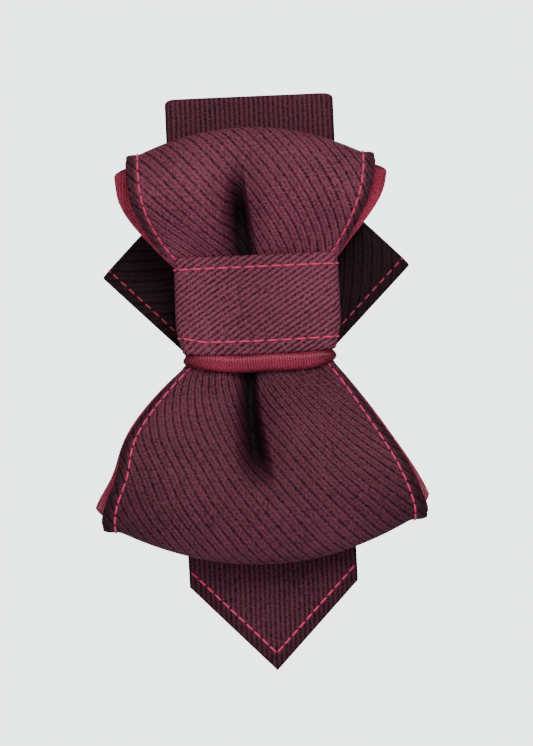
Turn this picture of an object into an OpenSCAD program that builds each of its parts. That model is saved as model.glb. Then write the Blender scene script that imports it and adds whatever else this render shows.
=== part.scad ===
// Vertical pre-tied bow tie: a back strip with a pointed tail, a bow of two lined loops, a wrapped
// knot, and an open neckband with a sliding adjuster, a hook and an eye. Millimetres, +Z up,
// front towards -Y, and the origin is the centre of the patch at the back of the knot.

/* [Back strip] */
// Width of the strip behind the bow
strip_w = 48; // [44:0.2:50]
// Height of the strip's top fold above the origin
strip_top = 63; // [56:0.2:70]
// Depth of the tail's shoulders below the origin
tail_shoulder = 77.5; // [74:0.5:90]
// Depth of the tail's point below the origin
tail_tip = 102.3; // [96:0.1:112]

/* [Bow] */
// Height of the upper loop's fold at its middle
upper_h = 53.3; // [48:0.1:58]
// Drop of the upper fold from its middle to its corners
upper_drop = 8.2; // [4:0.1:12]
// Half width of the upper loop's front leaf at its fold
upper_front_w = 35.2; // [30:0.1:38]
// Half width of the upper loop's rear leaf at its fold
upper_rear_w = 38.9; // [31:0.1:42]
// Depth of the lower loop's fold at its middle
lower_h = 71.3; // [62:0.1:73]
// Rise of the lower fold from its middle to its corners
lower_drop = 11; // [6:0.1:15]
// Half width of the lower loop's front leaf at its fold
lower_front_w = 45.6; // [40:0.1:48]
// Half width of the lower loop's rear leaf at its fold
lower_rear_w = 49.2; // [41:0.1:52]
// How far the upper loop puffs out, front to back
upper_puff = 15; // [12:0.5:18]
// How far the lower loop puffs out, front to back
lower_puff = 17; // [12:0.5:20]

/* [Knot] */
// Width of the wrapped knot
knot_w = 46.8; // [46:0.1:48]
// Height of the knot's top edge above the origin
knot_top = 16; // [15.5:0.1:18]
// Depth of the knot cloth's lower edge below the origin
knot_bottom = 10.8; // [10:0.1:13]
// Depth of the knot lining's lower edge below the origin
knot_lining_bottom = 15.6; // [14:0.1:18]

/* [Neckband] */
// Width of the wings that show at the collar
wing_w = 25; // [22:0.5:25]
// Width of the strap round the neck
band_w = 20; // [20:0.1:20.2]
// Half the inside width of the slack neck loop
loop_half_w = 31; // [30:0.5:31]
// Length of the slack neck loop behind the origin
loop_len = 133; // [125:1:150]

/* [Cloth] */
// Thickness of the ribbed outer cloth
cloth_t = 0.5; // [0.4:0.05:0.5]
// Thickness of the interlining
inter_t = 0.35; // [0.2:0.05:0.35]
// Thickness of the satin lining
lining_t = 0.25; // [0.15:0.05:0.25]
// Thickness of the folded neckband
band_t = 1.4; // [1.2:0.1:1.4]

/* [Hidden] */
$fn = 48;

burgundy = [0.38, 0.13, 0.22];
satin = [0.66, 0.2, 0.31];
thread_colour = [0.85, 0.3, 0.42];
canvas = [0.85, 0.82, 0.76];
nickel = [0.78, 0.78, 0.8];

// Layers are kept this far apart
skin_gap = 0.05;
inter_in = cloth_t + skin_gap;
lining_in = inter_in + inter_t + skin_gap;
lining_out = lining_in + lining_t;
thread_h = 0.25;
thread_w = 0.5;

// Depths of the layers behind the bow, from the shirt side forwards
patch_t = 0.6;
wing_y = -patch_t - skin_gap;
knot_back_y = wing_y - band_t - skin_gap;
strip_y = -5.4;
strip_r = 1.6;
rear_leaf_y = -8;
waist_t = 5.4;

// Geometry of the wings: their lower edges rise at 45 degrees from a point under the knot
wing_drop = 31.4;
wing_reach = 57.4;
half_t = band_t / 2;
hinge_gap = 1;
band_start_y = 0.3;
twist_len = 30;
wing_mid = wing_drop - wing_w / sqrt(2);
fold_sum = wing_reach - half_t * sqrt(2);
fold_x = (fold_sum + wing_mid) / 2;
band_z = (fold_sum - wing_mid) / 2;
corner_r = 15;
nape_x = loop_half_w - corner_r;
corner_y = loop_len - corner_r;

// Hardware
bar_r = 0.8;
bar_play = 0.1;
loop_t = 0.9;
bar_x = 14.3;
slide_bar_y = 84;
slide_len = 14;
slide_bar_x = loop_half_w - half_t - 0.2 - loop_t - bar_r - bar_play;
run_end_y = 95;

function mix(a, b, k) = a + (b - a) * k;
function smooth(k) = k * k * (3 - 2 * k);
function sweep_steps(n) = [for (i = [0:n]) i / n];

// Closed plate between two grids of points that have the same rows and columns
module plate(outer, inner) {
    rows = len(outer);
    cols = len(outer[0]);
    half = rows * cols;
    points = concat([for (row = outer) each row], [for (row = inner) each row]);
    top = [for (i = [0:rows - 2], j = [0:cols - 2])
        [i * cols + j, i * cols + j + 1, (i + 1) * cols + j + 1, (i + 1) * cols + j]];
    rim = concat(
        [for (j = [0:cols - 1]) j],
        [for (i = [1:rows - 1]) i * cols + cols - 1],
        [for (j = [cols - 2:-1:0]) (rows - 1) * cols + j],
        [for (i = [rows - 2:-1:1]) i * cols]
    );
    count = len(rim);
    split = [for (q = top) each [[q[0], q[1], q[2]], [q[0], q[2], q[3]]]];
    under = [for (f = split) [f[2] + half, f[1] + half, f[0] + half]];
    side = [for (k = [0:count - 1])
        let (a = rim[k], b = rim[(k + 1) % count])
        each [[b, a, a + half], [b, a + half, b + half]]];
    polyhedron(points, concat(split, under, side), convexity = 6);
}

// Closed or hollow tube through rings of points, all with the same number of points
module ring_sweep(rings, hole_rings = []) {
    count = len(rings[0]);
    last = len(rings) - 1;
    half = len(rings) * count;
    points = concat([for (r = rings) each r], [for (r = hole_rings) each r]);
    walls = [for (i = [0:last - 1], j = [0:count - 1])
        let (a = i * count + j, b = i * count + (j + 1) % count)
        each [[a, b, b + count], [a, b + count, a + count]]];
    holes = [for (f = walls) [f[2] + half, f[1] + half, f[0] + half]];
    start = [for (j = [0:count - 1])
        let (a = j, b = (j + 1) % count)
        each [[b, a, a + half], [b, a + half, b + half]]];
    finish = [for (f = start) [f[2], f[1], f[0]] + last * count * [1, 1, 1]];
    caps = [[for (j = [count - 1:-1:0]) j], [for (j = [0:count - 1]) last * count + j]];
    hollow = len(hole_rings) > 0;
    polyhedron(points, concat(walls, hollow ? concat(holes, start, finish) : caps), convexity = 6);
}

// Side view of a loop as [y, z]: front leg for a in 0..1, fold for 1..2, rear leg for 2..3.
// inset is the depth below the outer face, reach the distance from the origin to the fold.
loop_waist_z = 12;
loop_leg = 0.72;
function leaf_puff(z, reach, puff) =
    waist_t + (puff - waist_t) * smooth(max(0, z - loop_waist_z) / (loop_leg * reach - loop_waist_z));
function loop_side(a, inset, reach, puff) =
    let (leg = loop_leg * reach, phi = 180 * (a - 1), mid = rear_leaf_y - puff / 2)
    a <= 1 ? [rear_leaf_y - leaf_puff(mix(0.3, leg, a), reach, puff) + inset, mix(0.3, leg, a)]
    : a >= 2 ? [rear_leaf_y - inset, mix(leg, 0.3, a - 2)]
    : [mid - (puff / 2 - inset) * cos(phi), leg + (reach - leg - inset) * sin(phi)];

// Half width of a leaf at the height z, from the gathered waist to the fold
waist_half = 17.4;
function leaf_half(z, corner, wide, bow) =
    let (k = min(1, max(0, z - loop_waist_z) / (corner - loop_waist_z)))
    waist_half + (wide - waist_half) * (1 - pow(1 - k, bow));

// Point of a loop: u runs across it from -1 to 1, a runs along its cloth from front to rear
corner_round = 1;
corner_power = 14;
function loop_point(u, a, inset, reach, drop, front_w, rear_w, puff, bow, up) =
    let (
        end = reach - drop * u * u - corner_round * pow(u, corner_power),
        side = loop_side(a, inset, end, puff),
        wide = mix(front_w, rear_w, smooth(min(1, max(0, a - 0.6)))),
        x = u * leaf_half(side[1], reach - drop, wide, bow)
    )
    [x, side[0], up * side[1]];

function upper_point(u, a, inset) = loop_point(
    u, a, inset, upper_h, upper_drop, upper_front_w, upper_rear_w, upper_puff, 2, 1);
function lower_point(u, a, inset) = loop_point(
    u, a, inset, lower_h, lower_drop, lower_front_w, lower_rear_w, lower_puff, 1.9, -1);

// Columns across a loop: its edges, both sides of each hem's thread, and the field between.
// Every layer and thread of a loop uses the same columns, so their facets stay parallel.
hem = 2.8;
function loop_front(upper) = upper ? upper_front_w : lower_front_w;
function hem_columns(upper) =
    let (half = loop_front(upper), u = (half - hem) / half, du = thread_w / 2 / half)
    [u - du, u + du];
function half_columns(upper) = concat([0.3, 0.6, 0.8], hem_columns(upper));
function across(upper) =
    let (side = half_columns(upper), n = len(side) - 1)
    concat([for (i = [n:-1:0]) -side[i]], [0], side);
function edged(columns) = concat([-1], columns, [1]);
along = concat([for (k = sweep_steps(8)) k], [for (k = sweep_steps(9)) 1 + k],
    [for (k = [1:6]) 2 + k / 6]);
leaf_along = [for (i = [0:len(along) - 1]) if (i == 0 || along[i] != along[i - 1]) along[i]];

// Layer of a loop between two depths, over the given columns and steps along the cloth
module loop_layer(shallow, deep, columns, run, upper) {
    grids = [for (depth = [shallow, deep]) [for (a = run) [for (u = columns)
        upper ? upper_point(u, a, depth) : lower_point(u, a, depth)]]];
    if (upper) plate(grids[1], grids[0]);
    else plate(grids[0], grids[1]);
}

// Raised line of thread along one side hem of a loop
module hem_thread(side, upper) {
    pair = hem_columns(upper);
    columns = side > 0 ? pair : [-pair[1], -pair[0]];
    run = [for (a = leaf_along) if (a > 0.3 && a < 2.7) a];
    color(thread_colour) loop_layer(-thread_h, -0.01, columns, run, upper);
}

// The loops
module upper_cloth() { color(burgundy) loop_layer(0, cloth_t, edged(across(true)), leaf_along, true); }
module upper_interlining() {
    color(canvas) loop_layer(inter_in, inter_in + inter_t, across(true), leaf_along, true);
}
module upper_lining() {
    color(satin) loop_layer(lining_in, lining_out, edged(across(true)), leaf_along, true);
}
module lower_cloth() { color(burgundy) loop_layer(0, cloth_t, edged(across(false)), leaf_along, false); }
module lower_interlining() {
    color(canvas) loop_layer(inter_in, inter_in + inter_t, across(false), leaf_along, false);
}
module lower_lining() {
    color(satin) loop_layer(lining_in, lining_out, edged(across(false)), leaf_along, false);
}

// Front outline of the strip, shrunk by trim on its sides and at its point. It narrows where
// the knot gathers it.
fold_corner = 2.5;
gathered_half = 20;
gather_top = 16.6;
gather_run = 4;
module strip_outline(trim) {
    half = strip_w / 2 - trim;
    corner = [for (k = sweep_steps(4))
        [half - fold_corner * (1 - sin(90 * k)), strip_top + 1 - fold_corner * (1 - cos(90 * k))]];
    neck = gathered_half - trim;
    right = concat(
        [[half, -tail_shoulder], [half, -gather_top - gather_run], [neck, -gather_top],
         [neck, gather_top], [half, gather_top + gather_run]],
        [for (i = [4:-1:0]) corner[i]]
    );
    left = [for (i = [len(right) - 1:-1:0]) [-right[i][0], right[i][1]]];
    rotate([90, 0, 0]) linear_extrude(40, center = true)
    polygon(concat(right, left, [[0, -tail_tip + trim * sqrt(2)]]));
}

// Hairpin of the strip between two depths under its outer face
rear_leaf_end = 14;
module strip_hairpin(shallow, deep) {
    outer = strip_r - shallow;
    inner = strip_r - deep;
    fold_z = strip_top - strip_r;
    rotate([90, 0, 90]) linear_extrude(strip_w + 2, center = true) {
        difference() {
            translate([strip_y, fold_z]) circle(outer);
            translate([strip_y, fold_z]) circle(inner);
            translate([strip_y - 5, fold_z - 10]) square(10);
        }
        translate([strip_y - outer, -tail_tip]) square([outer - inner, tail_tip + fold_z]);
        translate([strip_y + inner, -rear_leaf_end]) square([outer - inner, rear_leaf_end + fold_z]);
    }
}

module strip_layer(shallow, deep, trim) {
    intersection() {
        strip_hairpin(shallow, deep);
        strip_outline(trim);
    }
}
module strip_cloth() { color(burgundy) strip_layer(0, cloth_t, 0); }
module strip_interlining() { color(canvas) strip_layer(inter_in, inter_in + inter_t, 1.5); }
module strip_lining() { color(satin) strip_layer(lining_in, lining_out, 0.2); }

// Topstitching that follows the tail's point, three millimetres inside its edge
tail_inset = 3;
module tail_stitching() {
    half = strip_w / 2;
    slope = (tail_tip - tail_shoulder) / half;
    rise = tail_inset * sqrt(1 + slope * slope);
    side_z = -tail_shoulder + rise;
    tip_z = -tail_tip + rise;
    band = thread_w * sqrt(1 + slope * slope);
    color(thread_colour)
    translate([0, strip_y - strip_r - 0.01, 0])
    rotate([90, 0, 0]) linear_extrude(thread_h) polygon([
        [half, side_z], [0, tip_z], [-half, side_z],
        [-half, side_z + band], [0, tip_z + band], [half, side_z + band]
    ]);
}

// Plain woven label on the back of the tail
label_w = 22;
label_h = 10;
label_z = -52;
module label_tab() {
    color(canvas)
    translate([-label_w / 2, strip_y - strip_r + lining_out + 0.01, label_z])
    cube([label_w, 0.3, label_h]);
}

// Level outline of the knot, inset by t: a flattened ring with rounded sides
knot_front_y = -16.4;
knot_mid_y = (knot_front_y + knot_back_y) / 2;
front_power = 0.25;
back_power = 0.12;
function rounded(c, power) = sign(c) * pow(abs(c), power);
function knot_outline(t) =
    let (half_w = knot_w / 2 - t, half_d = knot_back_y - knot_mid_y - t)
    [for (k = [0:59])
        let (phi = 6 * k + 3, power = sin(phi) > 0 ? back_power : front_power)
        [rounded(cos(phi), power) * half_w, knot_mid_y + rounded(sin(phi), power) * half_d]];

module knot_ring(shallow, deep, low, high) {
    translate([0, 0, low]) linear_extrude(high - low) difference() {
        polygon(knot_outline(shallow));
        polygon(knot_outline(deep));
    }
}
module knot_cloth() { color(burgundy) knot_ring(0, cloth_t, -knot_bottom, knot_top); }
module knot_interlining() {
    color(canvas) knot_ring(inter_in, inter_in + inter_t, -knot_bottom + 1, knot_top - 1);
}
module knot_lining() {
    color(satin) knot_ring(lining_in, lining_out, -knot_lining_bottom, knot_top - 0.5);
}

// The two rows of topstitching on the front of the knot
module knot_row(z) {
    color(thread_colour) intersection() {
        knot_ring(-thread_h, -0.01, z - thread_w / 2, z + thread_w / 2);
        translate([-50, -56, -50]) cube([100, 50, 100]);
    }
}
knot_row_top = 13.5;
knot_row_bottom = -7.5;
module knot_stitching_top() { knot_row(knot_row_top); }
module knot_stitching_bottom() { knot_row(knot_row_bottom); }

// Binding thread round the gathered waist of the bow, inside the knot
waist_cord = 0.7;
module waist_thread() {
    front = rear_leaf_y - waist_t - skin_gap;
    back = rear_leaf_y + skin_gap;
    color(thread_colour) for (turn = [-1:1])
        translate([0, 0, turn * 1.4 - 0.7]) linear_extrude(1.4) difference() {
            translate([-waist_half - 1, front - waist_cord])
            square([2 * waist_half + 2, back - front + 2 * waist_cord]);
            translate([-waist_half - 0.2, front]) square([2 * waist_half + 0.4, back - front]);
        }
}

// Front outline of the right wing, inset by t from its two long edges
wing_end_sum = fold_sum - hinge_gap * sqrt(2);
function wing_outline(t) =
    let (d = t * sqrt(2), low = wing_drop - d, high = wing_drop - wing_w * sqrt(2) + d, e = wing_end_sum)
    [[0.02, -low], [(e + low) / 2, (e - low) / 2], [(e + high) / 2, (e - high) / 2], [0.02, -high]];

module wing_slab(front, back, outline) {
    translate([0, back, 0]) rotate([90, 0, 0]) linear_extrude(back - front) polygon(outline);
}
module wing_cloth(side) {
    skin = 0.45;
    color(burgundy) mirror([side < 0 ? 1 : 0, 0, 0]) difference() {
        wing_slab(wing_y - band_t, wing_y, wing_outline(0));
        translate([-0.1, 0, 0])
        wing_slab(wing_y - band_t + skin, wing_y - skin, wing_hollow(0.6));
    }
}
function wing_hollow(t) =
    let (o = wing_outline(t), d = 2)
    [[o[0][0] - d, o[0][1] - d], [o[1][0] + d, o[1][1] + d], [o[2][0] + d, o[2][1] + d],
     [o[3][0] - d, o[3][1] - d]];
module wing_core(side) {
    color(canvas) mirror([side < 0 ? 1 : 0, 0, 0])
    wing_slab(wing_y - band_t + 0.5, wing_y - 0.5, wing_outline(0.8));
}
wing_hem = 2;
module wing_stitching(side) {
    shift = wing_hem * sqrt(2);
    step = thread_w * sqrt(2);
    e = wing_end_sum;
    low = wing_drop - shift;
    high = wing_drop - wing_w * sqrt(2) + shift;
    front = wing_y - band_t - thread_h;
    start = 25;
    color(thread_colour) mirror([side < 0 ? 1 : 0, 0, 0]) for (edge = [low, high + step])
        wing_slab(front, front + thread_h - 0.01, [
            [start, start - edge], [(e + edge) / 2, (e - edge) / 2],
            [(e + edge - step) / 2, (e - edge + step) / 2], [start, start - edge + step]
        ]);
}
module left_wing_cloth() { wing_cloth(-1); }
module right_wing_cloth() { wing_cloth(1); }
module left_wing_core() { wing_core(-1); }
module right_wing_core() { wing_core(1); }
module left_wing_stitching() { wing_stitching(-1); }
module right_wing_stitching() { wing_stitching(1); }

// Seam that joins the two wings, below the knot
module wing_seam() {
    color(thread_colour)
    translate([-0.6, wing_y - band_t - thread_h, -wing_drop + 2])
    cube([1.2, thread_h - 0.01, 14]);
}

// Patch that covers the ends of the wings behind the knot
patch_w = 34;
patch_h = 20;
patch_low = -13;
module back_patch() {
    r = 2;
    color(burgundy) rotate([90, 0, 0]) linear_extrude(patch_t) union() {
        translate([-patch_w / 2 + r, patch_low]) square([patch_w - 2 * r, patch_h]);
        translate([-patch_w / 2, patch_low + r]) square([patch_w, patch_h - 2 * r]);
        for (x = [-1, 1], z = [r, patch_h - r])
            translate([x * (patch_w / 2 - r), patch_low + z]) circle(r);
    }
}

// Stations of the right strap as [centre, direction of its width, outward normal, width]
twist_steps = 9;
corner_steps = 10;
function twist_station(k) =
    let (s = smooth(k), tilt = 45 * (1 - s))
    [[mix(fold_x, loop_half_w, s), mix(band_start_y, twist_len, k), band_z],
     [-sin(tilt), 0, cos(tilt)], [cos(tilt), 0, sin(tilt)], mix(wing_w, band_w, s)];
function corner_station(k) =
    let (phi = 90 * k)
    [[nape_x + corner_r * cos(phi), corner_y + corner_r * sin(phi), band_z],
     [0, 0, 1], [cos(phi), sin(phi), 0], band_w];
strap_stations = concat([for (k = sweep_steps(twist_steps)) twist_station(k)],
    [for (k = sweep_steps(corner_steps)) corner_station(k)]);

// Cross-section of the strap at a station, inset by w on its edges and t on its faces
function strap_ring(station, w, t) =
    let (c = station[0], a = station[1] * (station[3] / 2 - w), n = station[2] * (half_t - t))
    [c + a + n, c + a - n, c - a - n, c - a + n];

module band_cloth() {
    color(burgundy) ring_sweep(
        [for (s = strap_stations) strap_ring(s, 0, 0)],
        [for (s = strap_stations) strap_ring(s, 0.6, 0.45)]
    );
}
module band_core() {
    color(canvas) ring_sweep([for (s = strap_stations) strap_ring(s, 0.8, 0.5)]);
}
module left_band_cloth() { mirror([1, 0, 0]) band_cloth(); }
module left_band_core() { mirror([1, 0, 0]) band_core(); }
module right_band_cloth() { band_cloth(); }
module right_band_core() { band_core(); }

// Strap end folded round a bar: an eye of cloth and a flap that lies inside the strap
module bar_loop(flap) {
    inner = bar_r + bar_play;
    outer = inner + loop_t;
    flap_y = loop_len - half_t - 0.1 - loop_t;
    translate([0, 0, band_z - band_w / 2]) linear_extrude(band_w) {
        difference() {
            translate([bar_x, loop_len]) circle(outer);
            translate([bar_x, loop_len]) circle(inner);
            translate([bar_x + 1.2, loop_len - 5]) square(10);
        }
        if (flap > 0) translate([bar_x, flap_y - 0.15]) square([flap, loop_t]);
    }
}
bar_flap = 1.5;
module hook_loop() { color(burgundy) mirror([1, 0, 0]) bar_loop(bar_flap); }
module ring_loop() { color(burgundy) bar_loop(bar_flap); }

// Bar tack across a strap end
module end_tack(y) {
    color(thread_colour)
    translate([nape_x + 0.2, y, band_z - band_w / 2 + 1]) cube([1.2, thread_h, band_w - 2]);
}
module hook_tack() { mirror([1, 0, 0]) end_tack(loop_len + half_t + 0.03); }
module ring_tack() { end_tack(loop_len + half_t + 0.03); }

// Return run of the left strap, from the hook round the nape to the slide's tab
module return_run() {
    r = corner_r - half_t - 0.2 - loop_t / 2;
    stations = concat(
        [[[-nape_x - r, run_end_y, band_z], [1, 0, 0]]],
        [for (k = sweep_steps(corner_steps))
            let (phi = 90 * k)
            [[-nape_x - r * cos(phi), corner_y + r * sin(phi), band_z], [cos(phi), -sin(phi), 0]]]
    );
    up = [0, 0, band_w / 2];
    color(burgundy) ring_sweep([for (s = stations)
        let (n = s[1] * loop_t / 2)
        [s[0] + up + n, s[0] - up + n, s[0] - up - n, s[0] + up - n]]);
}

// Adjuster: an outer frame, two rails past the strap's edges and a bar for the strap's end
slide_t = 1.2;
rail_t = 1.3;
rail_in = band_w / 2 + 0.3;
slide_bar_r = 0.9;
module adjuster_slide() {
    x_out = loop_half_w + half_t + 0.3 + slide_t;
    low_y = slide_bar_y - slide_len / 2;
    tall = 2 * (rail_in + rail_t);
    color(nickel) translate([0, 0, band_z]) {
        difference() {
            translate([-x_out, low_y, -tall / 2]) cube([slide_t, slide_len, tall]);
            translate([-x_out - 1, low_y + 3, -rail_in]) cube([5, slide_len - 6, 2 * rail_in]);
        }
        for (side = [-1, 1]) {
            z = side > 0 ? rail_in : -rail_in - rail_t;
            translate([-x_out, low_y, z]) cube([slide_t + 1, slide_len, rail_t]);
            translate([-x_out, slide_bar_y - 2, z])
            cube([x_out - slide_bar_x + slide_bar_r, 4, rail_t]);
        }
        translate([-slide_bar_x, slide_bar_y, -rail_in - 0.5])
        cylinder(h = 2 * rail_in + 1, r = slide_bar_r);
    }
}

// Strap end that is folded round the slide's bar and sewn to itself
tab_leg = 10.7;
module slide_tab() {
    inner = slide_bar_r + 0.1;
    outer = inner + loop_t - 0.1;
    color(burgundy)
    translate([-slide_bar_x, slide_bar_y, band_z - band_w / 2]) linear_extrude(band_w) {
        difference() {
            circle(outer);
            circle(inner);
            translate([-5, 0]) square(10);
        }
        translate([-outer, 0]) square([outer - inner, tab_leg]);
        translate([inner, 0]) square([outer - inner, tab_leg - 2]);
    }
}
module slide_tack() {
    inner = slide_bar_r + 0.1;
    color(thread_colour)
    translate([-slide_bar_x - inner + 0.02, slide_bar_y + 5, band_z - band_w / 2 + 1])
    cube([2 * inner - 0.04, 1, band_w - 2]);
}

// Rounded wire between two points in a level plane or along Z
module wire(a, b) {
    d = b - a;
    translate(a) rotate([0, acos(d[2] / norm(d)), atan2(d[1], d[0])])
    cylinder(h = norm(d), r = bar_r);
}
hardware_half = band_w / 2 + 1.4;

// Hook: a wire frame, a cross plate and a tongue that curls back towards the neck
hook_plate_x = 7.4;
tongue_w = 8;
tongue_t = 1;
throat = 3.4;
module hook() {
    y = loop_len;
    ends = [-1, 1];
    color(nickel) translate([0, 0, band_z]) {
        wire([-bar_x, y, -hardware_half], [-bar_x, y, hardware_half]);
        for (s = ends) {
            wire([-bar_x, y, s * hardware_half], [-hook_plate_x, y, s * hardware_half]);
            translate([-bar_x, y, s * hardware_half]) sphere(bar_r);
        }
        translate([-hook_plate_x - 1, y - tongue_t / 2, -hardware_half - bar_r])
        cube([2.8, tongue_t, 2 * hardware_half + 2 * bar_r]);
        translate([-hook_plate_x, y - tongue_t / 2, -tongue_w / 2]) cube([5.4, tongue_t, tongue_w]);
        curl = throat / 2 + tongue_t;
        translate([-2, y + tongue_t / 2 - curl, -tongue_w / 2]) linear_extrude(tongue_w)
        difference() {
            circle(curl);
            circle(curl - tongue_t);
            translate([-10, -5]) square(10);
        }
        translate([-5.5, y + tongue_t / 2 - 2 * curl, -tongue_w / 2]) cube([3.5, tongue_t, tongue_w]);
    }
}

// Eye: a closed wire ring, longer than the strap is wide
eye_reach = 6.8;
module eye_ring() {
    y = loop_len;
    color(nickel) translate([0, 0, band_z]) {
        for (x = [bar_x, eye_reach]) wire([x, y, -hardware_half], [x, y, hardware_half]);
        for (s = [-1, 1]) {
            wire([eye_reach, y, s * hardware_half], [bar_x, y, s * hardware_half]);
            for (x = [bar_x, eye_reach]) translate([x, y, s * hardware_half]) sphere(bar_r);
        }
    }
}

module upper_stitching_left() { hem_thread(-1, true); }
module upper_stitching_right() { hem_thread(1, true); }
module lower_stitching_left() { hem_thread(-1, false); }
module lower_stitching_right() { hem_thread(1, false); }

strip_cloth();
strip_interlining();
strip_lining();
tail_stitching();
label_tab();
upper_cloth();
upper_interlining();
upper_lining();
upper_stitching_left();
upper_stitching_right();
lower_cloth();
lower_interlining();
lower_lining();
lower_stitching_left();
lower_stitching_right();
waist_thread();
knot_cloth();
knot_interlining();
knot_lining();
knot_stitching_top();
knot_stitching_bottom();
left_wing_cloth();
left_wing_core();
left_wing_stitching();
right_wing_cloth();
right_wing_core();
right_wing_stitching();
wing_seam();
back_patch();
left_band_cloth();
left_band_core();
return_run();
hook_loop();
hook_tack();
right_band_cloth();
right_band_core();
ring_loop();
ring_tack();
adjuster_slide();
slide_tab();
slide_tack();
hook();
eye_ring();
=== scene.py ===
"""Vertical pre-tied bow tie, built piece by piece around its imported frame.

Every shape is a grid of points worked out with numpy, in metres: +Z up, front towards -Y, and the
origin at the centre of the patch behind the knot.
"""

import math
from typing import NamedTuple

import bpy
import numpy as np
from bpy.props import FloatProperty, FloatVectorProperty, PointerProperty
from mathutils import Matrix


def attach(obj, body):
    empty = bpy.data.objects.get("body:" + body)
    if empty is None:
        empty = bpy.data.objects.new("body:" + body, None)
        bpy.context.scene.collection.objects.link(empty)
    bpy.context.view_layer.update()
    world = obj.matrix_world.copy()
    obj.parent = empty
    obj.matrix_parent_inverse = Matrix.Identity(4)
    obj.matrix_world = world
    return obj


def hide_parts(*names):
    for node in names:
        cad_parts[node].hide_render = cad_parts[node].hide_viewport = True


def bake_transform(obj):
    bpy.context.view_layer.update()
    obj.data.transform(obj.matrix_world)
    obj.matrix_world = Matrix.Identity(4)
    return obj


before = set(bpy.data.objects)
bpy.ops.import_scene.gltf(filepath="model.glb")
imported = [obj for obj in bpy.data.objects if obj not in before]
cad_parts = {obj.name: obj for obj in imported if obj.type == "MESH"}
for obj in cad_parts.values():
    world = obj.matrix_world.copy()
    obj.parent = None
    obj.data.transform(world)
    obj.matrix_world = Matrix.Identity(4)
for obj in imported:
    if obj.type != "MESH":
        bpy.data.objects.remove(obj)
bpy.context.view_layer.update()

bl_info = {
    "name": "Vertical bow tie",
    "version": (1, 0, 0),
    "blender": (4, 5, 0),
    "location": "View3D > Sidebar > Bow tie",
    "description": "Adds the pieces of a pre-tied bow tie with a pointed tail and a sliding neckband",
    "category": "Add Mesh",
}

MM = 0.001

# Layers of the lined cloth, as depths below the outer face
CLOTH = (0.0, 0.5 * MM)
INTERLINING = (0.55 * MM, 0.9 * MM)
LINING = (0.95 * MM, 1.2 * MM)

# Depths behind the bow
REAR_LEAF_Y = -8.0 * MM
STRIP_Y = -5.4 * MM
STRIP_RADIUS = 1.6 * MM
WING_Y = -1.35 * MM

# Loops: share of the height below the fold, where the puff starts and its depth there, the first
# height of each leaf, the place of the pleat's root, and the angle of the ribs in degrees
LOOP_LEG = 0.72
WAIST_Z = 12.0 * MM
WAIST_DEPTH = 5.4 * MM
LEAF_START_Z = 0.3 * MM
PLEAT_ROOT_Z = 17 * MM
LOOP_BIAS = 129.0
INTERLINING_SHARE = 0.93

# Strip: angle of its ribs in degrees, margin of the tail's stitches, and how far its rear leaf
# reaches below the origin
STRIP_BIAS = 90.0
TAIL_HEM = 3.4 * MM
REAR_LEAF_END = 14 * MM

# Knot: powers of its outline, angle of its ribs in degrees, heights of its two rows of stitches, and
# the radius, place and rows of its satin roll
KNOT_BACK_POWER = 0.13
KNOT_FRONT_POWER = 0.27
KNOT_BIAS = 33.0
TOP_ROW_Z = 13.5 * MM
BOTTOM_ROW_Z = -7.3 * MM
ROLL_RADIUS = 2.9 * MM
ROLL_Z = -13.35 * MM
ROLL_DEPTH = 2.55 * MM
ROLL_START_Z = -9.2 * MM
ROLL_ROWS = 26
SATIN_ROWS = 22

# Neckband: angle of its ribs in degrees, the painted shadow that darkens its cloth, and its measures
BAND_BIAS = 45.0
BAND_PAINTED_SHADOW = 0.08
BAND_T = 1.4 * MM
BAND_LIFT = BAND_T / 2 * 0.86
ROW_START_X = 12 * MM
WING_W = 25.0 * MM
STRAP_W = 20.0 * MM
WING_DROP = 31.4 * MM
WING_REACH = 57.4 * MM
FOLD_RADIUS = 2.5 * MM
TWIST_END_Y = 30.0 * MM
LOOP_HALF_W = 31.0 * MM
CORNER_R = 15.0 * MM
LOOP_LEN = 133.0 * MM
TURN_T = 0.9 * MM
RUN_END_Y = 95.0 * MM
ROOT_HALF = math.sqrt(0.5)
WING_MID = WING_DROP - WING_W * ROOT_HALF
FOLD_SUM = WING_REACH - BAND_T * ROOT_HALF
FOLD_X = (FOLD_SUM + WING_MID) / 2
BAND_Z = (FOLD_SUM - WING_MID) / 2
NAPE_X = LOOP_HALF_W - CORNER_R
CORNER_Y = LOOP_LEN - CORNER_R


# Studio: floor, camera sensor in millimetres, and the point the camera looks at
FLOOR_RADIUS = 0.34
FLOOR_SIDES = 96
FLOOR_Z = -0.17
SENSOR = 36.0
BOW_DEPTH = 15 * MM
AIM_X = 1.7 * MM
AIM_Z = -16.9 * MM


# ---------------------------------------------------------------- numbers


def mix(a, b, k):
    """a where k is 0, b where k is 1, and in proportion between."""
    return a + (b - a) * k


def smooth(k):
    """0 below 0, 1 above 1, and the cubic 3k^2 - 2k^3 between."""
    k = np.clip(k, 0.0, 1.0)
    return k * k * (3 - 2 * k)


def ramp(x, start, end):
    """Rises smoothly from 0 at start to 1 at end."""
    return smooth((x - start) / (end - start))


def bell(x, width, power=2.0):
    """1 at zero, falling to 1/e at width: exp(-|x / width|^power)."""
    return np.exp(-(np.abs(x / width) ** power))


def packed_line(low, high, count, centre, width, gain):
    """count values from low to high, closer together by 1 + gain near centre."""
    fine = np.linspace(low, high, 2001)
    total = np.cumsum(1 + gain * bell(fine - centre, width))
    total = (total - total[0]) / (total[-1] - total[0])
    return np.interp(np.linspace(0, 1, count), total, fine)


def unit(v):
    """Vectors scaled to length 1."""
    return v / np.maximum(np.linalg.norm(v, axis=-1, keepdims=True), 1e-12)


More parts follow.
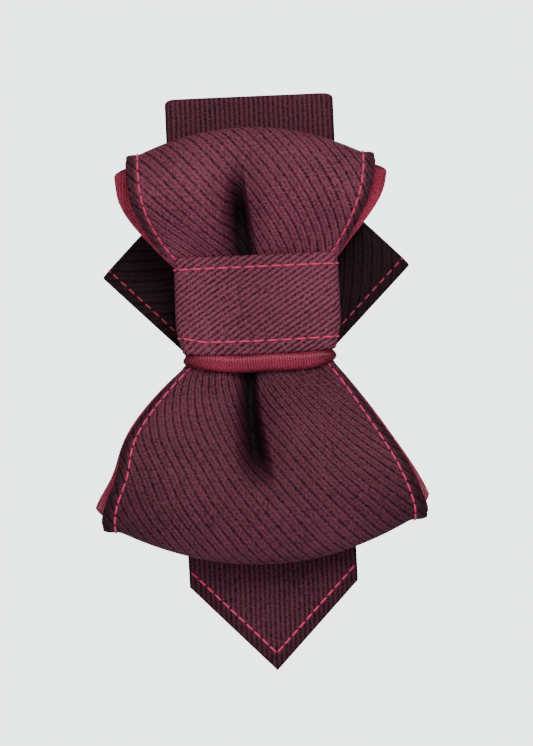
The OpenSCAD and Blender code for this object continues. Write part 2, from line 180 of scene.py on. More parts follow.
def grid_normals(points):
    """Unit normals of a grid of points: the cross product of its two slopes."""
    return unit(np.cross(np.gradient(points, axis=1), np.gradient(points, axis=0)))


def run_length(points):
    """Distance along each column of a grid from its first row."""
    steps = np.linalg.norm(np.diff(points, axis=0), axis=-1)
    return np.concatenate([np.zeros((1,) + steps.shape[1:]), np.cumsum(steps, axis=0)])


# ---------------------------------------------------------------- meshes


class Skin(NamedTuple):
    """A closed surface: points, quads of point numbers, corner coordinates in millimetres, painted
    shade.
    """

    points: np.ndarray
    quads: np.ndarray
    uv: np.ndarray
    painted_shade: np.ndarray


def grid_quads(index):
    """Quads between the neighbours of a grid of numbers."""
    a, b, c, d = index[:-1, :-1], index[:-1, 1:], index[1:, 1:], index[1:, :-1]
    return np.stack([a, b, c, d], axis=-1).reshape(-1, 4)


def outward(skin):
    """The skin with its quads turned to face outwards, by the sign of its volume."""
    a, b, c, d = (skin.points[skin.quads[:, i]] for i in range(4))
    volume = np.sum(a * np.cross(b, c)) + np.sum(a * np.cross(c, d))
    if volume >= 0:
        return skin
    return Skin(skin.points, skin.quads[:, ::-1], skin.uv[:, ::-1], skin.painted_shade)


def shell(outer, inner, uv, wrap=False, bulge=0.35, rounds=1, painted_shade=None):
    """Closed shell between two grids of points. Its rim is rounded: each border point of the two
    grids is joined over an arc that stands bulge times the thickness outside the border. wrap
    joins the last column to the first, and uv then has one column more than the grids."""
    rows, cols = outer.shape[:2]
    count = rows * cols
    index = np.arange(count).reshape(rows, cols)
    if wrap:
        index = np.concatenate([index, index[:, :1]], axis=1)
    corner = np.arange(index.size).reshape(index.shape)
    if wrap:
        borders = [(np.zeros(cols + 1, int), np.arange(cols + 1))]
        borders.append((np.full(cols + 1, rows - 1), np.arange(cols, -1, -1)))
    else:
        top, side = np.arange(cols - 1), np.arange(rows - 1)
        r = np.concatenate([0 * top, side, 0 * top + rows - 1, rows - 1 - side, [0]])
        c = np.concatenate([top, 0 * side + cols - 1, cols - 1 - top, 0 * side, [0]])
        borders = [(r, c)]
    quads = [grid_quads(index), grid_quads(index + count)[:, ::-1]]
    corners = [grid_quads(corner), grid_quads(corner)[:, ::-1]]
    points = [outer.reshape(-1, 3), inner.reshape(-1, 3)]
    painted_shade = np.zeros((rows, cols)) if painted_shade is None else painted_shade
    painted_shades = [painted_shade.ravel(), painted_shade.ravel()]
    made = 2 * count
    for r, c in borders:
        near_c = c % cols if wrap else np.clip(c, 1, cols - 2)
        edge_o, edge_i = outer[r, c % cols], inner[r, c % cols]
        away = unit(edge_o - outer[np.clip(r, 1, rows - 2), near_c])
        thick = np.linalg.norm(edge_o - edge_i, axis=-1, keepdims=True)
        phi = (np.arange(1, rounds + 1) / (rounds + 1) * np.pi)[:, None, None]
        arc = (edge_o + edge_i) / 2 + np.cos(phi) * (edge_o - edge_i) / 2
        arc = arc + np.sin(phi) * bulge * thick * away
        ring = np.arange(made, made + rounds * (len(r) - 1)).reshape(rounds, -1)
        ring = np.concatenate([ring, ring[:, :1]], axis=1)
        strip = np.concatenate([index[r, c][None], ring, index[r, c][None] + count])
        quads.append(grid_quads(strip)[:, ::-1])
        corners.append(grid_quads(np.repeat(corner[r, c][None], rounds + 2, axis=0))[:, ::-1])
        points.append(arc[:, :-1].reshape(-1, 3))
        painted_shades.append(np.tile(painted_shade[r[:-1], c[:-1] % cols], rounds))
        made += rounds * (len(r) - 1)
    flat_uv = uv.reshape(-1, 2)
    return outward(
        Skin(
            np.concatenate(points),
            np.concatenate(quads),
            flat_uv[np.concatenate(corners)] / MM,
            np.concatenate(painted_shades),
        )
    )


def joined(skins):
    """Several skins as one."""
    starts = np.cumsum([0] + [len(s.points) for s in skins[:-1]])
    return Skin(
        np.concatenate([s.points for s in skins]),
        np.concatenate([s.quads + start for s, start in zip(skins, starts)]),
        np.concatenate([s.uv for s in skins]),
        np.concatenate([s.painted_shade for s in skins]),
    )


def mirrored(skin):
    """The skin reflected from right to left."""
    return outward(Skin(skin.points * (-1, 1, 1), skin.quads, skin.uv * (-1, 1), skin.painted_shade))


def new_piece(name, skin, finish):
    """A mesh object made from a skin, smooth shaded, with its corner coordinates, its painted shade and
    the slot of its finish."""
    mesh = bpy.data.meshes.new(name)
    mesh.from_pydata(skin.points.tolist(), [], skin.quads.tolist())
    layer = mesh.uv_layers.new(name="Cloth")
    layer.data.foreach_set("uv", skin.uv.ravel())
    # painted shade: how much darker the colour is at each point, standing for shade there
    mesh.attributes.new("painted_shade", "FLOAT", "POINT").data.foreach_set("value", skin.painted_shade.astype("f"))
    mesh.polygons.foreach_set("use_smooth", np.ones(len(skin.quads), dtype=bool))
    mesh.materials.append(finish)
    mesh.update()
    piece = bpy.data.objects.new(name, mesh)
    bpy.context.scene.collection.objects.link(piece)
    return piece


def flat_uv(across, along):
    """Cloth coordinates of a grid: the distance across the cloth, and the distance along it."""
    return np.stack(np.broadcast_arrays(across, along), axis=-1)


# ---------------------------------------------------------------- thread


def resampled(path, count):
    """count rows at equal distances along a path, whose rows start with a point."""
    s = run_length(path[:, None, :3])[:, 0]
    at = np.linspace(0, s[-1], count)
    return np.stack([np.interp(at, s, path[:, i]) for i in range(path.shape[1])], axis=-1)


def stitches(path, normals, pitch, gap, width, height=0.5, lift=0.0):
    """A row of stitches along a path. Each is a thread of oval section whose half width is
    width / 2 times (1 - t^6)^(1/2) at t from -1 to 1 along it, and whose ends dip into the cloth."""
    length = run_length(path[:, None])[-1, 0]
    count = max(1, int(round(length / pitch)))
    samples, sides, rings = 40, 8, 7
    fine = resampled(np.concatenate([path, normals], axis=1), samples * count + 1)
    t = np.linspace(-1, 1, rings) * 0.985
    start = (np.arange(count)[:, None] + 0.5) * samples
    at = start + t[None] * (samples / 2) * (1 - gap / (length / count))
    low = np.clip(np.floor(at).astype(int), 0, len(fine) - 2)
    k = (at - low)[..., None]
    both = mix(fine[low], fine[low + 1], k)
    centre, up = both[..., :3], unit(both[..., 3:])
    along = unit(np.gradient(centre, axis=1))
    side = unit(np.cross(along, up))
    fat = np.sqrt(1 - t**6)[None, :, None, None]
    angle = (np.arange(sides) / sides * 2 * np.pi)[None, None, :, None]
    dip = (lift - 0.3 * width * t**6)[None, :, None]
    base = centre + up * dip
    ring = base[:, :, None] + fat * width / 2 * np.cos(angle) * side[:, :, None]
    ring = ring + fat * width * height * np.sin(angle) * up[:, :, None]
    serial = np.arange(count * rings * sides)
    number = serial.reshape(count, rings, sides)
    number = np.concatenate([number, number[:, :, :1]], axis=2)
    a, b, c, d = number[:, :-1, :-1], number[:, :-1, 1:], number[:, 1:, 1:], number[:, 1:, :-1]
    quads = [np.stack([a, b, c, d], axis=-1).reshape(-1, 4)]
    cap = np.array([[0, 3, 2, 1], [0, 7, 4, 3], [4, 7, 6, 5]])
    quads.append(number[:, 0, :sides][:, cap].reshape(-1, 4))
    quads.append(number[:, -1, :sides][:, cap[:, ::-1]].reshape(-1, 4))
    quads = np.concatenate(quads)
    ring_of = (serial // sides) % rings
    uv = np.stack([ring_of * pitch / rings, (serial % sides) * width / 3], -1)
    return outward(Skin(ring.reshape(-1, 3), quads, uv[quads] / MM, np.zeros(ring.size // 3)))


# ---------------------------------------------------------------- finishes


class Wire:
    """An output of a node. Sums on it add the Math, Vector Math or Mix node that does them."""

    def __init__(self, paint, socket):
        self.paint = paint
        self.socket = socket

    def sum_with(self, kind, first, second):
        """The node for a sum of two wires or numbers, by the kinds of its wires."""
        types = [x.socket.type for x in (first, second) if isinstance(x, Wire)]
        if "RGBA" in types:
            first, second = (spread(x, (1.0,)) for x in (first, second))
            settings = {"data_type": "RGBA", "blend_type": kind}
            return self.paint.node("ShaderNodeMix", settings, {0: 1.0, 6: first, 7: second}, output=2)
        if "VECTOR" in types:
            first, second = (spread(x) for x in (first, second))
            return self.paint.node("ShaderNodeVectorMath", {"operation": kind}, {0: first, 1: second})
        return self.paint.node("ShaderNodeMath", {"operation": kind}, {0: first, 1: second})

    def __add__(self, other):
        return self.sum_with("ADD", self, other)

    def __radd__(self, other):
        return self.sum_with("ADD", other, self)

    def __sub__(self, other):
        return self.sum_with("SUBTRACT", self, other)

    def __rsub__(self, other):
        return self.sum_with("SUBTRACT", other, self)

    def __mul__(self, other):
        return self.sum_with("MULTIPLY", self, other)

    def __pow__(self, other):
        return self.sum_with("POWER", self, other)

    def function(self, operation):
        """A Math node with one input, such as COSINE."""
        return self.paint.node("ShaderNodeMath", {"operation": operation}, {0: self})


def spread(value, alpha=()):
    """A number as a vector of three, with its alpha for a colour. Wires stay as they are."""
    return (value, value, value, *alpha) if isinstance(value, (int, float)) else value


class Paint:
    """A material while its nodes are put together."""

    def __init__(self, name):
        self.material = bpy.data.materials.new(name)
        self.material.use_nodes = True
        self.tree = self.material.node_tree
        self.tree.nodes.clear()
        self.shader = self.tree.nodes.new("ShaderNodeBsdfPrincipled")
        output = self.tree.nodes.new("ShaderNodeOutputMaterial")
        self.tree.links.new(self.shader.outputs[0], output.inputs["Surface"])

    def node(self, kind, settings=None, inputs=None, output=0):
        """A node of any kind: its settings first, then the values or wires of its sockets."""
        made = self.tree.nodes.new(kind)
        for key, value in (settings or {}).items():
            setattr(made, key, value)
        for key, value in (inputs or {}).items():
            self.feed(made.inputs[key], value)
        return Wire(self, made.outputs[output])

    def feed(self, socket, value):
        """Links a wire to a socket, or sets its value."""
        if isinstance(value, Wire):
            self.tree.links.new(value.socket, socket)
        else:
            socket.default_value = value

    def finish(self, **values):
        """Sets the shader's sockets, named with underscores for spaces."""
        for key, value in values.items():
            self.feed(self.shader.inputs[key.replace("_", " ")], value)
        return self.material

    def object_point(self):
        """The place in the object."""
        return self.node("ShaderNodeTexCoord", output="Object")

    def part(self, vector, which):
        """One coordinate of a vector, by its number."""
        return self.node("ShaderNodeSeparateXYZ", inputs={0: vector}, output=which)

    def cloth_axes(self):
        """The two cloth coordinates, in millimetres, and the painted shade."""
        uv = self.node("ShaderNodeUVMap", {"uv_map": "Cloth"})
        painted_shade = self.node("ShaderNodeAttribute", {"attribute_name": "painted_shade"}, output="Fac")
        return self.part(uv, 0), self.part(uv, 1), painted_shade

    def placed_axes(self):
        """Cloth coordinates for upright pieces without their own: the height, and x + y."""
        scaled = self.object_point() * (1 / MM)
        return self.part(scaled, 2), self.part(scaled, 0) + self.part(scaled, 1), 0.0

    def noise(self, point, scale, detail=2.0):
        """Noise about 0, of the given scale."""
        inputs = {"Vector": point, "Scale": scale, "Detail": detail}
        return self.node("ShaderNodeTexNoise", inputs=inputs) - 0.5

    def wave(self, along, pitch, phase=0.0):
        """A cosine of the given pitch."""
        return (along * (2 * math.pi / pitch) + phase).function("COSINE")

    def bump(self, height, distance, strength=1.0):
        """Normals of a height from 0 to 1 that stands for the distance in metres."""
        inputs = {"Strength": strength, "Distance": distance, "Height": height}
        return self.node("ShaderNodeBump", inputs=inputs)

    def blend(self, k, first, second):
        """The first colour where k is 0 and the second where it is 1."""
        settings = {"data_type": "RGBA"}
        return self.node("ShaderNodeMix", settings, {0: k, 6: first, 7: second}, output=2)


def shaded(colour, factor):
    """A colour times a factor, with full alpha."""
    return tuple(min(1.0, x * factor) for x in colour[:3]) + (1.0,)


def ribbed_finish(name, colours, bias, tone=1.0, placed=False, every=2):
    """Ribbed cloth. The ribs run at bias degrees in the cloth's coordinates, between grooves that are
    raised cosines: a deep one at every second rib, or at each, and a shallow one at each. Its colour is
    scaled by its tone, partly painted light, and darkened by painted shade."""
    paint = Paint(name)
    u, v, painted_shade = paint.placed_axes() if placed else paint.cloth_axes()
    turn = math.radians(bias)
    point = paint.object_point()
    drift = paint.noise(point, 32.0, 3.0) * 1.1
    worn = paint.noise(point, 110.0, 3.0) * 0.6 + 0.92
    across = u * math.sin(turn) - v * math.cos(turn) + drift
    along = u * math.cos(turn) + v * math.sin(turn)
    pitch = colours.rib_pitch / MM
    deep = (paint.wave(across, every * pitch) * 0.5 + 0.5) ** 1.7 * worn
    fine = (paint.wave(across, pitch, 0.5) * 0.5 + 0.5) ** 1.5
    twill = paint.wave(along + across * 0.6, 0.7)
    fuzz = paint.noise(point, 1700.0, 3.0)
    broad = paint.noise(point, 45.0, 3.0)
    height = 0.87 - deep * 0.36 - fine * 0.38
    light = height + twill * 0.07 + fuzz * 2.2 + broad * 0.5
    # painted shade: darkens the colour in the pleats, hems, corners and folds
    shadowed = 1 - painted_shade * 0.96
    valley, crest = shaded(colours.cloth, 0.12 * tone), shaded(colours.cloth, 1.8 * tone)
    return paint.finish(
        Base_Color=paint.blend(light, valley, crest) * shadowed,
        Roughness=0.78 - height * 0.14,
        Normal=paint.bump(height + fuzz * 0.5, 0.18 * MM),
        Sheen_Weight=0.07,
        Sheen_Roughness=0.5,
        Sheen_Tint=shaded(colours.cloth, 4.0),
        Specular_IOR_Level=0.14,
    )


def satin_finish(name, colours, tone=1.0, painted_sheen=0.7):
    """Satin: fine ribs along the cloth, a soft gloss, faint pulls across it, painted highlights as
    brighter and darker patches, and painted shade.
    """
    paint = Paint(name)
    u, v, painted_shade = paint.cloth_axes()
    point = paint.object_point()
    fine = paint.wave(u + paint.noise(point, 80.0) * 0.5 + v * 0.12, 0.75)
    grain = paint.noise(point, 2200.0, 2.0)
    broad = paint.noise(point, 70.0, 2.0)
    # the broad patches: painted highlights and painted shade that stand for the satin's sheen
    light = 0.46 + fine * 0.3 + grain * 2.0 + broad * painted_sheen
    colour = paint.blend(light, shaded(colours.satin, 0.38 * tone), shaded(colours.satin, 1.5 * tone))
    return paint.finish(
        # painted shade darkens the satin where it lies in shade
        Base_Color=colour * (1 - painted_shade * 0.9),
        Roughness=0.36 + grain * 0.12,
        Normal=paint.bump(fine * 0.3 + grain * 0.5 + 0.5, 0.05 * MM),
        Sheen_Weight=0.05,
        Sheen_Roughness=0.3,
        Sheen_Tint=shaded(colours.satin, 1.6),
        Specular_IOR_Level=0.2,
    )


def thread_finish(name, colour, twist=0.42):
    """Sewing thread: two plies twisted, seen as slanted stripes."""
    paint = Paint(name)
    u, v, _ = paint.cloth_axes()
    ply = paint.wave(u + v * 0.8, twist)
    fuzz = paint.noise(paint.object_point(), 2600.0, 2.0)
    light = 0.5 + ply * 0.3 + fuzz * 0.5
    return paint.finish(
        Base_Color=paint.blend(light, shaded(colour, 0.66), shaded(colour, 1.2)),
        Roughness=0.55 + fuzz * 0.2,
        Normal=paint.bump(ply * 0.4 + 0.5, 0.05 * MM),
        Sheen_Weight=0.2,
        Sheen_Roughness=0.4,
    )


def canvas_finish(name, colour):
    """Plain woven canvas: threads over and under in both directions."""
    paint = Paint(name)
    point = paint.object_point()
    pitch = 0.6 * MM
    weave = paint.wave(paint.part(point, 0), pitch) * paint.wave(paint.part(point, 2), pitch)
    fuzz = paint.noise(point, 1500.0, 3.0)
    light = 0.5 + weave * 0.3 + fuzz * 0.5
    return paint.finish(
        Base_Color=paint.blend(light, shaded(colour, 0.75), shaded(colour, 1.05)),
        Roughness=0.85 + fuzz * 0.1,
        Normal=paint.bump(weave * 0.5 + 0.5, 0.08 * MM),
    )


def nickel_finish(name, colour):
    """Plated steel: bright, with faint tumbling marks and duller patches."""
    paint = Paint(name)
    point = paint.object_point()
    marks = paint.noise(point, 900.0, 4.0)
    patches = paint.noise(point, 90.0, 3.0)
    return paint.finish(
        Base_Color=paint.blend(0.5 + patches * 1.2, shaded(colour, 0.86), shaded(colour, 1.04)),
        Metallic=1.0,
        Roughness=0.24 + patches * 0.22 + marks * 0.1,
        Normal=paint.bump(marks + 0.5, 0.01 * MM, 0.5),
    )


def plain_finish(name, colour):
    """Matt paper for the floor, with a trace of grain."""
    paint = Paint(name)
    grain = paint.noise(paint.object_point(), 300.0, 2.0)
    return paint.finish(
        Base_Color=paint.blend(0.5 + grain, shaded(colour, 0.97), shaded(colour, 1.02)),
        Roughness=0.9,
    )


def finish_named(name, maker, *values):
    """The material of that name, made the first time it is asked for."""
    return bpy.data.materials.get(name) or maker(name, *values)


# ---------------------------------------------------------------- loops


def right_side(u):
    """0 on a loop's left side, 1 on its right side, and the change between them."""
    return ramp(u, -0.2, 0.7)


def leaf_half(shape, u, z):
    """Half width of the front leaf at a height: from the waist to the fold as 1 - (1 - k)^flare,
    with one flare for the left side and another for the right, and drawn in on the left by a bell
    curve above the corner."""
    k = np.clip((z - shape.waist_z) / (shape.height - shape.drop - shape.waist_z), 0, 1)
    right = right_side(u)
    flare = mix(shape.flare, shape.flare_right, right)
    half = shape.waist_half + (shape.front_half - shape.waist_half) * (1 - (1 - k) ** flare)
    half = half - shape.pinch * (1 - ramp(u, -0.7, 0.2)) * bell(k - 0.7, 0.18)
    return half * mix(1, shape.right_scale, right)


def loop_plain(shape, u, a, inset):
    """Loop without its folds, at a depth below its outer face. u runs across from -1 to 1. a runs
    along the cloth: 0 to 1 up the front leaf, whose depth grows smoothly from the waist to the
    puff, 1 to 2 round the fold, half an ellipse, and 2 to 3 down the flat rear leaf, which is
    wider than the front one from just behind the fold."""
    reach = shape.height - shape.drop * (u**2 - 0.15 * ramp(np.abs(u), 0.88, 1)) - shape.tilt * u
    leg = LOOP_LEG * reach
    front_z = mix(LEAF_START_Z, leg, np.clip(a, 0, 1))
    swell = ramp(front_z, WAIST_Z, leg)
    front_y = REAR_LEAF_Y - WAIST_DEPTH - (shape.puff - WAIST_DEPTH) * swell + inset
    phi = np.pi * (np.clip(a, 1, 2) - 1)
    fold_y = REAR_LEAF_Y - shape.puff / 2 - (shape.puff / 2 - inset) * np.cos(phi)
    fold_z = leg + (reach - leg - inset) * np.sin(phi)
    rear_z = mix(leg, LEAF_START_Z, np.clip(a - 2, 0, 1))
    y = np.where(a < 1, front_y, np.where(a > 2, REAR_LEAF_Y - inset, fold_y))
    z = np.where(a < 1, front_z, np.where(a > 2, rear_z, fold_z))
    wider = (shape.rear_half - shape.front_half) * ramp(z, shape.lap_start, shape.lap_end)
    wider = wider * mix(1, shape.lap_right, right_side(u))
    x = u * (leaf_half(shape, u, z) + wider * ramp(a, 1.71, 1.77))
    x = x * (1 + inset / LINING[0] * mix(-0.012, 0.012, ramp(a, 1.4, 1.65)))
    return np.stack([x, y, z], axis=-1)


def pleat_place(shape, u, z):
    """Distance in metres from the middle of the pleat, which runs from the knot to its end."""
    k = np.clip((z - PLEAT_ROOT_Z) / (shape.pleat_end - PLEAT_ROOT_Z), 0, 1)
    return (u - mix(shape.pleat_from, shape.pleat_to, k)) * leaf_half(shape, u, z)


def pleat_shape(shape, off, z):
    """The pleat's slit and the valley around it, each from 0 to 1. The slit's sides fall as
    exp(-x^3.2) on the right and exp(-x^2) on the left, and it closes at its end."""
    end = shape.pleat_end
    k = ramp(z, 18 * MM, end - 8 * MM)
    width = mix(shape.pleat_near, shape.pleat_far, k)
    slit = np.where(off > 0, bell(off, width, 3.2), bell(off, width * shape.pleat_soft, 2.0))
    slit = slit * (1 - ramp(z, end - shape.pleat_fade, end))
    valley = bell(off, mix(4.5 * MM, 7.5 * MM, k)) * (1 - ramp(z, 0.55 * end, end + 7 * MM))
    return slit, valley


def loop_relief(shape, u, a, plain):
    """How far the front leaf sinks: the pleat and its valley, edges that turn back as |u|^14, a
    groove under the hem's stitches, gathers at the knot, a slow swell and the raised shoulders
    beside the pleat."""
    z = plain[..., 2]
    front = 1 - smooth((a - 0.95) / 0.6)
    puffed = ramp(z, WAIST_Z, LOOP_LEG * shape.height)
    hollow = WAIST_DEPTH - 2.7 * MM + (shape.puff - WAIST_DEPTH) * puffed
    off = pleat_place(shape, u, z)
    slit, valley = pleat_shape(shape, off, z)
    pleat = np.minimum(hollow, shape.pleat_depth) * np.maximum(slit, 0.36 * valley)
    edge = 2.4 * MM * np.abs(u) ** 14 * ramp(z, 14 * MM, 30 * MM) * (1 - ramp(a, 0.8, 1.3))
    groove = 0.3 * MM * bell((np.abs(u) - 1) * shape.front_half + shape.hem, 0.5 * MM)
    near = np.exp(-np.clip(z - 15 * MM, 0, None) / (6.5 * MM))
    fine = np.cos(u * 41 + 0.7) * smooth((u - 0.25) / 0.3) * 0.75
    coarse = np.cos(u * 19 - 1.2) * 0.5
    gather = 0.62 * MM * near * (fine + coarse) * (1 - bell(u, 0.12))
    swell = 0.5 * MM * np.sin(u * 5.2 + shape.swell + z * 38) * ramp(z, 16 * MM, 32 * MM)
    beside = bell(np.abs(off) - 9 * MM, 6 * MM)
    fade = 1 - ramp(z, 0.6 * shape.pleat_end, shape.pleat_end)
    shoulder = -1.3 * MM * beside * fade * ramp(z, 15 * MM, 24 * MM)
    return (pleat + edge + groove + gather + swell + shoulder) * front


def loop_layer(shape, u, a, inset):
    """One face of a loop's layer: the plain loop, sunk along its normals by its relief."""
    u, a = np.meshgrid(u, a)
    skin = loop_plain(shape, u, a, 0.0)
    normals = grid_normals(skin)
    plain = loop_plain(shape, u, a, inset)
    sunk = normals * loop_relief(shape, u, a, skin)[..., None]
    turned = plain - sunk * np.sign(-normals[:1, :1, 1:2])
    turned[..., 2] *= shape.up
    return turned


def joined_rows(*counts):
    """Values from 0 up, with the given count of them in each unit."""
    parts = [np.linspace(i, i + 1, count)[:-1] for i, count in enumerate(counts)]
    return np.concatenate([*parts, [float(len(counts))]])


def loop_columns(reach=1.0):
    """Columns across a loop, closest together near the pleat."""
    return packed_line(-reach, reach, 151, -0.08, 0.16, 2.2)


def loop_rows():
    """Rows along a loop's cloth: up the front leaf, round the fold and down the rear leaf."""
    return joined_rows(70, 40, 30)


def loop_skin(shape, layer, reach=1.0):
    """Closed shell of one of a loop's layers. Its painted shade darkens the cloth in the pleat, along
    the hems, in the corners and along the fold, and the lining where the front leaf covers it."""
    u, a = loop_columns(reach), loop_rows()
    outer = loop_layer(shape, u, a, layer[0])
    inner = loop_layer(shape, u, a, layer[1])
    plain = loop_plain(shape, *np.meshgrid(u, a), 0.0)
    uv = flat_uv(u[None] * shape.rear_half, run_length(plain) * shape.up)
    z = np.abs(outer[..., 2])
    u, a = u[None], a[:, None]
    across = np.abs(u)
    slit, valley = pleat_shape(shape, pleat_place(shape, u, z), z)
    front = 1 - smooth((a - 0.9) / 0.5)
    # painted shade on the hems, which turn away from the light
    edge = 0.62 * smooth(((across - 1) * shape.front_half / shape.hem + 0.9) / 0.4)
    edge = edge * (a < 1.5) * ramp(z, 14 * MM, 22 * MM)
    # painted shade in the pleat's slit and its valley
    painted_shade = np.maximum(np.maximum(np.clip(1.12 * slit, 0, 1), 0.4 * valley) * front, edge)
    # painted shade in the loop's corners
    corner = shape.dusk * ramp(across, 0.5, 1) * ramp(z, 0.5 * shape.height, 0.9 * shape.height)
    # painted shade along the fold
    brow = shape.brow * ramp(z, 0.5 * shape.height, 0.95 * shape.height)
    painted_shade = 1 - (1 - painted_shade) * (1 - corner) * (1 - brow)
    # painted shadow on the lining where the front leaf covers it
    covered = shape.front_half / shape.rear_half - across + 0.03
    covered = 0.55 * ramp(covered, 0, 0.05) + 0 * z
    return shell(outer, inner, uv, painted_shade=painted_shade if layer is CLOTH else covered)


def hem_stitches(shape, side, colours):
    """Stitches along one hem of a loop, from the waist over the fold to the rear waist."""
    middle = (1 - shape.hem / shape.front_half) * side
    u = middle + np.array([-0.02, 0.0, 0.02])
    a = np.linspace(0.3, 2.6, 400)
    sheet = loop_layer(shape, u, a, 0.0)
    normals = grid_normals(sheet)
    centre = sheet[:, 1]
    out = normals[:, 1] * np.sign(-normals[3, 1, 1])
    return stitches(centre, out, 3.4 * MM, 0.2 * MM, colours.thread_width, lift=0.06 * MM)


# ---------------------------------------------------------------- strip


def strip_layer(shape, u, a, inset, spare=0.0):
    """One face of the strip's layer. a runs 0 to 1 up the front leaf from the pointed tail, 1 to 2
    over the fold, half a circle, and 2 to 3 down the rear leaf. The knot pinches it in, and the
    tail leans a little to the right."""
    u, a = np.meshgrid(u, a)
    tail = shape.shoulder + (shape.tip - shape.shoulder) * (1 - np.abs(u)) - spare
    fold_z = shape.top - STRIP_RADIUS - 1.1 * MM * np.abs(u) ** 30
    phi = np.pi * (np.clip(a, 1, 2) - 1)
    round_y = STRIP_Y - (STRIP_RADIUS - inset) * np.cos(phi)
    round_z = fold_z + (STRIP_RADIUS - inset) * np.sin(phi)
    z = np.where(a < 1, mix(-tail, fold_z, np.clip(a, 0, 1)), round_z)
    z = np.where(a > 2, mix(fold_z, -REAR_LEAF_END, np.clip(a - 2, 0, 1)), z)
    pinch = 1 - 0.15 * (1 - ramp(np.abs(z), 16 * MM, 22 * MM))
    x = u * (shape.width / 2 - spare * 0.6) * pinch
    front = a < 1
    x = x + front * 1.2 * MM * ramp(-z, 20 * MM, 80 * MM)
    y = round_y + front * 0.9 * MM * u**4 * ramp(-z, 40 * MM, 95 * MM)
    y = y - front * 0.35 * MM * np.cos(u * 2.2 + z * 60) * ramp(-z, 30 * MM, 60 * MM)
    return np.stack([x, y, z], axis=-1)


def strip_skin(shape, layer, spare=0.0):
    """Closed shell of one of the strip's layers."""
    u = np.unique(np.concatenate([np.linspace(-1, 1, 61), [-0.985, 0.985]]))
    a = joined_rows(150, 22, 40)
    outer = strip_layer(shape, u, a, layer[0], spare)
    inner = strip_layer(shape, u, a, layer[1], spare)
    along = np.where(a[:, None] < 1, outer[..., 2], 2 * shape.top - outer[..., 2])
    slope = math.hypot(1, (shape.tip - shape.shoulder) / (shape.width / 2))
    tail = (outer[..., 2] - outer[:1, :, 2]) / slope
    hem = 1 - ramp(np.where(a[:, None] < 1, tail, 1.0), 2.2 * MM, TAIL_HEM)
    side = ramp(np.abs(u[None]) * shape.width / 2, shape.width / 2 - 1.6 * MM, shape.width / 2)
    # painted shade on the tail's hem and along the strip's sides, which turn away from the light
    painted_shade = np.maximum(0.45 * hem, 0.5 * side) * (layer is CLOTH)
    return shell(outer, inner, flat_uv(u[None] * shape.width / 2, along), painted_shade=painted_shade)


def tail_stitches(shape, colours):
    """Stitches a hem's width inside the tail's point."""
    slope = (shape.tip - shape.shoulder) / (shape.width / 2)
    rise = TAIL_HEM * math.hypot(1, slope)
    u = np.linspace(-1, 1, 121)
    sheet = strip_layer(shape, u, np.linspace(0, 1, 400), 0.0)
    row = -(shape.shoulder + (shape.tip - shape.shoulder) * (1 - np.abs(u))) + rise
    x, y = (
        np.array([np.interp(row[i], sheet[:, i, 2], sheet[:, i, axis]) for i in range(len(u))])
        for axis in (0, 1)
    )
    path = np.stack([x, y, row], axis=-1)
    up = np.broadcast_to(np.array([0.0, -1.0, 0.0]), path.shape)
    middle = len(u) // 2
    sides = [
        stitches(part, up[: len(part)], 3.1 * MM, 0.4 * MM, colours.thread_width, lift=0.05 * MM)
        for part in (path[1 : middle + 1], path[middle:-1])
    ]
    return joined(sides)


# ---------------------------------------------------------------- knot


def rounded(phi):
    """The two coordinates of the knot's outline at an angle, each from -1 to 1: a superellipse,
    flatter behind than in front."""
    power = np.where(np.sin(phi) > 0, KNOT_BACK_POWER, KNOT_FRONT_POWER)
    return (np.sign(side) * np.abs(side) ** power for side in (np.cos(phi), np.sin(phi)))


def knot_level(shape, phi, z, inset):
    """Points of the knot at angles phi and heights z. It bellies a little and narrows below, and
    two waves tug at the front of its cloth."""
    across, deep = rounded(phi)
    belly = 1 - (z / (16 * MM)) ** 2
    half_w = shape.width / 2 + 0.25 * MM * belly - 1.8 * MM * ramp(-z, 2 * MM, 13 * MM) - inset
    back_y = WING_Y - BAND_T / 2 - 0.05 * MM
    mid_y = (shape.front_y + back_y) / 2
    half_d = back_y - mid_y - inset
    x = across * half_w
    y = mid_y + deep * half_d
    front = smooth(-np.sin(phi) * 3) * bell(x, 19 * MM, 8)
    tug = np.sin((x * 0.62 + z * 0.9) / (3.6 * MM) + 0.6) * bell(z - 3 * MM, 7.5 * MM)
    tug = tug + 0.7 * np.sin((x * 0.45 - z * 0.8) / (5.2 * MM)) * bell(z - 5 * MM, 6 * MM)
    y = y - front * (0.45 * MM * belly + 0.26 * MM * tug)
    sag = 0.8 * MM * (1 - (x / (22 * MM)) ** 2) * ramp(-z, 4 * MM, 11 * MM)
    return np.stack([x, y, z - sag], axis=-1)


def hem_profile(low, high, radius, thickness, count):
    """Heights and insets of a band's outer and inner faces, with both edges rolled inwards
    through a quarter circle of the given radius."""
    turn = np.linspace(np.pi / 2, 0, 6)
    level = np.linspace(low + radius, high - radius, count)[1:-1]
    top = turn[::-1]
    faces = []
    for bend, depth in ((radius, 0.0), (radius - thickness, thickness)):
        flat = np.full(count - 2, depth)
        rows = [low + radius - bend * np.sin(turn), level, high - radius + bend * np.sin(top)]
        insets = [radius - bend * np.cos(turn), flat, radius - bend * np.cos(top)]
        faces += [np.concatenate(rows), np.concatenate(insets)]
    return faces


def ring_uv(points):
    """Cloth coordinates round a closed ring of columns: the distance round it, and the height."""
    closed = np.concatenate([points, points[:, :1]], axis=1)
    steps = np.linalg.norm(np.diff(closed, axis=1), axis=-1).mean(axis=0)
    around = np.concatenate([[0], np.cumsum(steps)])
    z = np.concatenate([points[..., 2], points[:, :1, 2]], axis=1)
    return np.stack([np.broadcast_to(around, z.shape), z], axis=-1)


